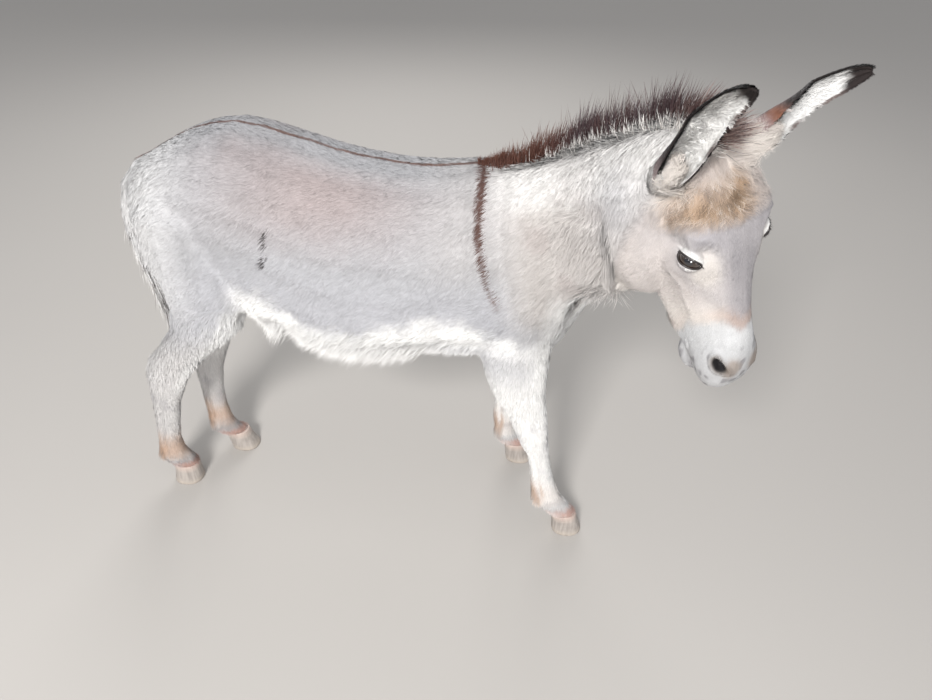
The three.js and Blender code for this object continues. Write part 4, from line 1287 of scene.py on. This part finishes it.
def make_lashes(side, material):
    """The lashes of the upper lid."""
    centre, gaze, line, up = eye_axes(SIDES[side])
    rng = np.random.default_rng(81)
    count = LASHES
    spot = rng.uniform(0.10 * math.pi, 0.90 * math.pi, count)
    outward = lid_way(spot) @ np.stack([gaze, line, up])
    roots = out_of_head(centre + (LID_EDGE + 0.0016) * outward)
    lie = outward * 0.45 + line * 0.30 - up * 0.75 + 0.12 * rng.normal(size=(count, 3))
    flat_normal = unit(up + 0.2 * rng.normal(size=(count, 3)))
    lashes = Hair(
        roots,
        flat_normal @ HEAD_AXES.T,
        lie @ HEAD_AXES.T,
        np.full(count, 0.0055),
        -0.10,
        0.00035,
        np.tile(BLACK, (count, 1)),
        np.stack([spot / math.pi, rng.uniform(0.2, 0.8, count)], axis=1),
        81,
    )
    lashes.steps, lashes.gather, lashes.droop, lashes.curl = 3, 0.15, 0.05, 0.0
    new_piece(f"eye_{side}_lashes", blade_mesh(f"eye_{side}_lashes", lashes), material, "mane_hair")


# ---------------------------------------------------------------- hooves
def make_hoof(leg, material):
    """A hoof on its own solid's slices: walls that lean from coronet to sole, with faint growth rings."""
    node = f"{leg}_hoof"
    solid = points_of(nodes[node].data)
    levels = np.array([0.0, 0.004, 0.029, CORONET - 0.0006])  # where the solid has its rings of points
    turns, rings = 72, 30
    angle = np.arange(turns) * 2 * math.pi / turns
    rows = []
    slices = []
    for level in levels:
        ring = solid[np.abs(solid[:, 2] - level) < 0.0035]
        low, high = ring.min(axis=0), ring.max(axis=0)
        slices.append([*(low + high)[:2] / 2, *(high - low)[:2] / 2])
    slices = np.array(slices)
    walls = np.linspace(0.0012, CORONET - 0.001, rings - 4)
    heights = np.concatenate([[0.0], walls, [CORONET + 0.001, CORONET + 0.002]])
    for height in heights:
        cx, cy, rx, ry = (np.interp(height, levels, slices[:, k]) for k in range(4))
        ripple = 0.00035 * math.sin(height * 900) + 0.0002 * math.sin(height * 2300 + 1)
        shrink = 1 - 0.02 * (height == 0) - (0.10 if height > CORONET + 0.0015 else 0.0) + ripple / rx
        heel = 1 - 0.10 * np.exp(-(((np.cos(angle) + 1) / 0.35) ** 2))
        cos, sin = np.cos(angle), np.sin(angle)
        x = cx + rx * shrink * np.sign(cos) * np.abs(cos) ** 0.9 * heel
        y = cy + ry * shrink * np.sign(sin) * np.abs(sin) ** 0.9
        rows.append(np.stack([x, y, np.full(turns, height)], axis=1))
    mesh = capped_tube(f"{leg}_horn", np.concatenate(rows), len(rows), turns)
    new_piece(f"{leg}_horn", mesh, material, "hoof_horn", node)


# ---------------------------------------------------------------- materials
class Sum:
    """A shader socket that can be used in plain arithmetic: each operation adds its Math node."""

    def __init__(self, tree, socket):
        self.tree, self.socket = tree, socket

    def _math(self, operation, other, swapped=False):
        node = self.tree.nodes.new("ShaderNodeMath")
        node.operation = operation
        pair = (other, self) if swapped else (self, other)
        for place, value in zip(node.inputs, pair):
            if isinstance(value, Sum):
                self.tree.links.new(value.socket, place)
            else:
                place.default_value = value
        return Sum(self.tree, node.outputs[0])

    def __add__(self, other):
        return self._math("ADD", other)

    def __radd__(self, other):
        return self._math("ADD", other, True)

    def __sub__(self, other):
        return self._math("SUBTRACT", other)

    def __rsub__(self, other):
        return self._math("SUBTRACT", other, True)

    def __mul__(self, other):
        return self._math("MULTIPLY", other)

    def __rmul__(self, other):
        return self._math("MULTIPLY", other, True)


class Finish:
    """A material under construction: its nodes come from one method, and its numbers from arithmetic."""

    def __init__(self, name, **constants):
        self.material = bpy.data.materials.new(name)
        self.material.use_nodes = True
        self.tree = self.material.node_tree
        self.surface = self.tree.nodes["Principled BSDF"]
        for socket, value in constants.items():
            self.surface.inputs[socket.replace("_", " ")].default_value = value

    def node(self, kind, settings=None, **inputs):
        """Adds a node with its settings, then the values or links of its sockets.

        A socket is given by its number, i4, or by its name with an underscore for each space, From_Min.
        """
        made = self.tree.nodes.new(kind)
        for key, value in (settings or {}).items():
            setattr(made, key, value)
        for key, value in inputs.items():
            numbered = key[0] == "i" and key[1:].isdigit()
            place = made.inputs[int(key[1:]) if numbered else key.replace("_", " ")]
            if isinstance(value, Sum):
                self.tree.links.new(value.socket, place)
            else:
                place.default_value = value
        return made

    def value(self, node, output=0):
        """An output of a node, ready for arithmetic."""
        return Sum(self.tree, node.outputs[output])

    def attribute(self, name, output):
        """A number, vector or colour kept on the mesh."""
        return self.value(self.node("ShaderNodeAttribute", {"attribute_name": name}), output)

    def mixed(self, share, a, b, how="MIX"):
        """Two colours mixed by a share."""
        made = self.node("ShaderNodeMix", {"data_type": "RGBA", "blend_type": how}, i0=share, i6=a, i7=b)
        return self.value(made, 2)

    def noise(self, scale, detail=3.0, where=None):
        """Noise from 0 to 1 over the piece."""
        where = where or self.value(self.node("ShaderNodeTexCoord"), "Object")
        return self.value(self.node("ShaderNodeTexNoise", Vector=where, Scale=scale, Detail=detail))

    def stretch(self, x, y, z):
        """Object coordinates squeezed or stretched along the axes."""
        where = self.value(self.node("ShaderNodeTexCoord"), "Object")
        return self.value(self.node("ShaderNodeMapping", Vector=where, Scale=(x, y, z)))

    def range(self, value, low, high, to_low, to_high):
        """A number brought evenly from one span to another, kept inside it."""
        ends = {"From_Min": low, "From_Max": high, "To_Min": to_low, "To_Max": to_high}
        return self.value(self.node("ShaderNodeMapRange", Value=value, **ends))

    def bump(self, height, strength, distance):
        """Sends a height to the surface as a bump."""
        made = self.node("ShaderNodeBump", Height=height, Strength=strength, Distance=distance)
        self.feed("Normal", self.value(made))

    def colour_markings(self, level):
        """Colours the surface with the markings kept on the mesh, made darker or lighter by a level."""
        tone = self.node("ShaderNodeCombineColor", Red=level, Green=level, Blue=level)
        markings = self.attribute("markings", "Color")
        self.feed("Base Color", self.mixed(1.0, markings, self.value(tone), "MULTIPLY"))

    def feed(self, socket, value):
        """Links a value to the surface."""
        self.tree.links.new(value.socket, self.surface.inputs[socket])


def skin_finish():
    """Skin under the hair: the markings a little darker, a fine nap of hair as bump, wet at the nostrils."""
    finish = Finish("skin_and_nap", Roughness=0.75, Specular_IOR_Level=0.25)
    wet = finish.attribute("wet", "Fac")
    nap = finish.noise(900.0, 2.0, finish.stretch(1.0, 1.0, 0.35))
    soft = finish.noise(60.0, 4.0)
    finish.colour_markings(finish.range(nap * 0.6 + soft * 0.4, 0.3, 0.7, 0.80, 1.02))
    finish.feed("Roughness", 0.78 - 0.35 * wet)
    finish.bump(nap * 0.5 + soft * 0.5, 0.35, 0.003)
    return finish.material


def hair_finish():
    """Hair: the markings, darker towards the root, each blade and lock a little different."""
    sheen = {"Sheen_Weight": 0.12, "Sheen_Roughness": 0.5}
    finish = Finish("coat_hair", Roughness=0.62, Specular_IOR_Level=0.28, **sheen)
    tip = finish.attribute("tip", "Fac")
    shade = finish.attribute("shade", "Fac")
    patches = finish.noise(14.0, 3.0)
    # Darker roots and paler tips: partly the hair's own tone, partly painted shade at the roots and painted
    # sheen on the tips.
    finish.colour_markings(finish.range(shade + 0.4 * tip + 0.4 * patches, 0.3, 1.4, 0.86, 1.14))
    geometry = finish.value(finish.node("ShaderNodeNewGeometry"), "Normal")
    smooth_way = finish.attribute("skin_normal", "Vector")
    half = finish.node("ShaderNodeMix", {"data_type": "VECTOR"}, i0=0.78, i4=geometry, i5=smooth_way)
    whole = finish.node("ShaderNodeVectorMath", {"operation": "NORMALIZE"}, i0=finish.value(half, 1))
    finish.feed("Normal", finish.value(whole))
    return finish.material


def stiff_hair_finish():
    """Mane, tail and lashes: coarser and glossier than the coat."""
    finish = Finish("stiff_hair", Roughness=0.45, Specular_IOR_Level=0.4)
    finish.colour_markings(finish.range(finish.attribute("shade", "Fac"), 0.0, 1.0, 0.75, 1.30))
    return finish.material


def eye_finish():
    """A dark brown iris round a wide pupil that lies level, under a clear wet surface."""
    finish = Finish("eye_wet", Roughness=0.08, Specular_IOR_Level=0.6, Coat_Weight=1.0, Coat_Roughness=0.02)
    across = finish.attribute("across", "Fac")
    above = finish.attribute("above", "Fac")
    off = finish.attribute("off", "Fac")
    oval = (across * across * 7.0) + (above * above * 22.0)
    pupil = finish.range(oval, 0.7, 1.1, 1.0, 0.0)
    iris = finish.range(off, math.radians(38), math.radians(44), 1.0, 0.0)
    rays = finish.noise(220.0, 2.0)
    brown = finish.mixed(rays, (0.010, 0.006, 0.004, 1), (0.034, 0.018, 0.011, 1))
    colour = finish.mixed(iris, (0.05, 0.038, 0.032, 1), brown)
    finish.feed("Base Color", finish.mixed(pupil, colour, (0.003, 0.003, 0.006, 1)))
    return finish.material


def lid_finish():
    """Bare dark skin of the lid rims, moist and finely wrinkled."""
    finish = Finish("lid_skin", Roughness=0.35, Specular_IOR_Level=0.5)
    grain = finish.noise(700.0, 3.0)
    finish.feed("Base Color", finish.mixed(grain, (0.012, 0.010, 0.010, 1), (0.045, 0.036, 0.034, 1)))
    finish.bump(grain, 0.3, 0.001)
    return finish.material


def hoof_finish():
    """Dull grey horn, paler and pinker at the coronet, with upright streaks, rings and dust at the ground."""
    finish = Finish("hoof_horn", Roughness=0.6, Specular_IOR_Level=0.35)
    where = finish.value(finish.node("ShaderNodeTexCoord"), "Object")
    height = finish.value(finish.node("ShaderNodeSeparateXYZ", Vector=where), "Z")
    streaks = finish.noise(160.0, 3.0, finish.stretch(1.0, 1.0, 0.08))
    rings = finish.noise(170.0, 2.0, finish.stretch(0.06, 0.06, 1.0))
    blotch = finish.noise(45.0, 3.0)
    horn = finish.mixed(streaks, (0.17, 0.15, 0.135, 1), (0.50, 0.445, 0.40, 1))
    horn = finish.mixed(finish.range(height, 0.040, 0.058, 0.0, 0.5), horn, (0.60, 0.45, 0.38, 1))
    dust = finish.range(height + blotch * 0.012, 0.008, 0.026, 0.75, 0.0)
    finish.feed("Base Color", finish.mixed(dust, horn, (0.44, 0.38, 0.32, 1)))
    finish.feed("Roughness", 0.5 + 0.3 * dust)
    finish.bump(rings * 0.6 + streaks * 0.4, 0.35, 0.002)
    return finish.material


# ---------------------------------------------------------------- stage, lights and camera
FLOOR_REACH = 40.0  # from the middle of the floor to its edges
SKY_COLOUR, SKY_STRENGTH = (0.92, 0.95, 1.0, 1), 0.60
# The lamps: place from the middle of the body, power in watts, and size.
LAMPS = {
    "key": ((-0.35, -3.1, 2.35), 178, 0.8),
    "fill": ((1.3, -4.8, 0.50), 96, 1.2),
    "rim": ((-0.6, 3.0, 2.2), 64, 2.0),
}


def make_stage():
    """A plain pale floor."""
    corners = np.array([[-1, -1, 0], [1, -1, 0], [1, 1, 0], [-1, 1, 0]])
    mesh = new_mesh("floor", corners * FLOOR_REACH, [0, 1, 2, 3], [4])
    floor = bpy.data.objects.new("floor", mesh)
    bpy.context.scene.collection.objects.link(floor)
    finish = Finish("floor_paper", Roughness=0.9, Specular_IOR_Level=0.1)
    paper = finish.mixed(finish.noise(0.4, 2.0), (0.41, 0.385, 0.36, 1), (0.44, 0.415, 0.385, 1))
    finish.feed("Base Color", paper)
    mesh.materials.append(finish.material)


def aim(thing, target):
    """Turns a lamp or camera to face a point."""
    thing.rotation_euler = (Vector(target) - thing.location).to_track_quat("-Z", "Y").to_euler()


def make_light(name, place, target, power, size):
    """A soft square lamp."""
    lamp = bpy.data.lights.new(name, "AREA")
    lamp.energy, lamp.size = power, size
    holder = bpy.data.objects.new(name, lamp)
    holder.location = place
    bpy.context.scene.collection.objects.link(holder)
    aim(holder, target)


def make_lights():
    """Soft light: a high key on the donkey's right, a low fill farther off and ahead, a rim on its left."""
    middle = Vector(BODY) + Vector((0.0, 0.0, 0.6))
    for name, (place, power, size) in LAMPS.items():
        make_light(name, middle + Vector(place), middle, power, size)
    world = bpy.data.worlds.new("studio")
    bpy.context.scene.world = world
    world.use_nodes = True
    sky = world.node_tree.nodes["Background"].inputs
    sky["Color"].default_value = SKY_COLOUR
    sky["Strength"].default_value = SKY_STRENGTH
    bpy.context.scene.view_settings.view_transform = "Standard"


# The camera stands off the donkey's right side, nearly abreast of its right forefoot, and looks down at it.
CAMERA_FROM_FOOT = np.array([-0.106, -1.227, 1.490])
CAMERA_YAW, CAMERA_DOWN, CAMERA_ROLL = math.radians(7.58), math.radians(37.61), math.radians(-1.87)
CAMERA_LENS, SENSOR_WIDTH = 27.73, 36.0  # millimetres


def make_camera():
    """The camera, placed from the sole of the right forefoot: a yaw, a look down, then a slight roll."""
    low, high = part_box("foreleg_right_hoof")
    foot = np.array([(low.x + high.x) / 2, (low.y + high.y) / 2, 0.0])
    lens = bpy.data.cameras.new("camera")
    lens.lens, lens.sensor_width = CAMERA_LENS, SENSOR_WIDTH
    camera = bpy.data.objects.new("camera", lens)
    bpy.context.scene.collection.objects.link(camera)
    camera.location = foot + CAMERA_FROM_FOOT
    c, s = math.cos(CAMERA_YAW), math.sin(CAMERA_YAW)
    ahead = np.array([-s * math.cos(CAMERA_DOWN), c * math.cos(CAMERA_DOWN), -math.sin(CAMERA_DOWN)])
    right = np.array([c, s, 0.0])
    up = np.cross(right, ahead)
    cos, sin = math.cos(CAMERA_ROLL), math.sin(CAMERA_ROLL)
    right, up = right * cos - up * sin, right * sin + up * cos
    camera.rotation_euler = Matrix(np.stack([right, up, -ahead], axis=1).tolist()).to_euler()
    bpy.context.scene.camera = camera


# ---------------------------------------------------------------- the whole donkey
tuft_share = 1.0
skin_material, hair_material, stiff_material = skin_finish(), hair_finish(), stiff_hair_finish()
eye_material, lid_material, hoof_material = eye_finish(), lid_finish(), hoof_finish()

skin = make_skin(skin_material)
make_coat(skin, hair_material, tuft_share)
for side in SIDES:
    make_ear_skin(side, skin_material)
    make_ear_hair(side, hair_material, tuft_share)
    make_eyeball(side, eye_material)
    make_lid_rim(side, lid_material)
    make_lashes(side, stiff_material)
make_mane(stiff_material, tuft_share)
make_tail(stiff_material, tuft_share)
for leg in LEGS:
    make_hoof(leg, hoof_material)
make_stage()
make_lights()
make_camera()
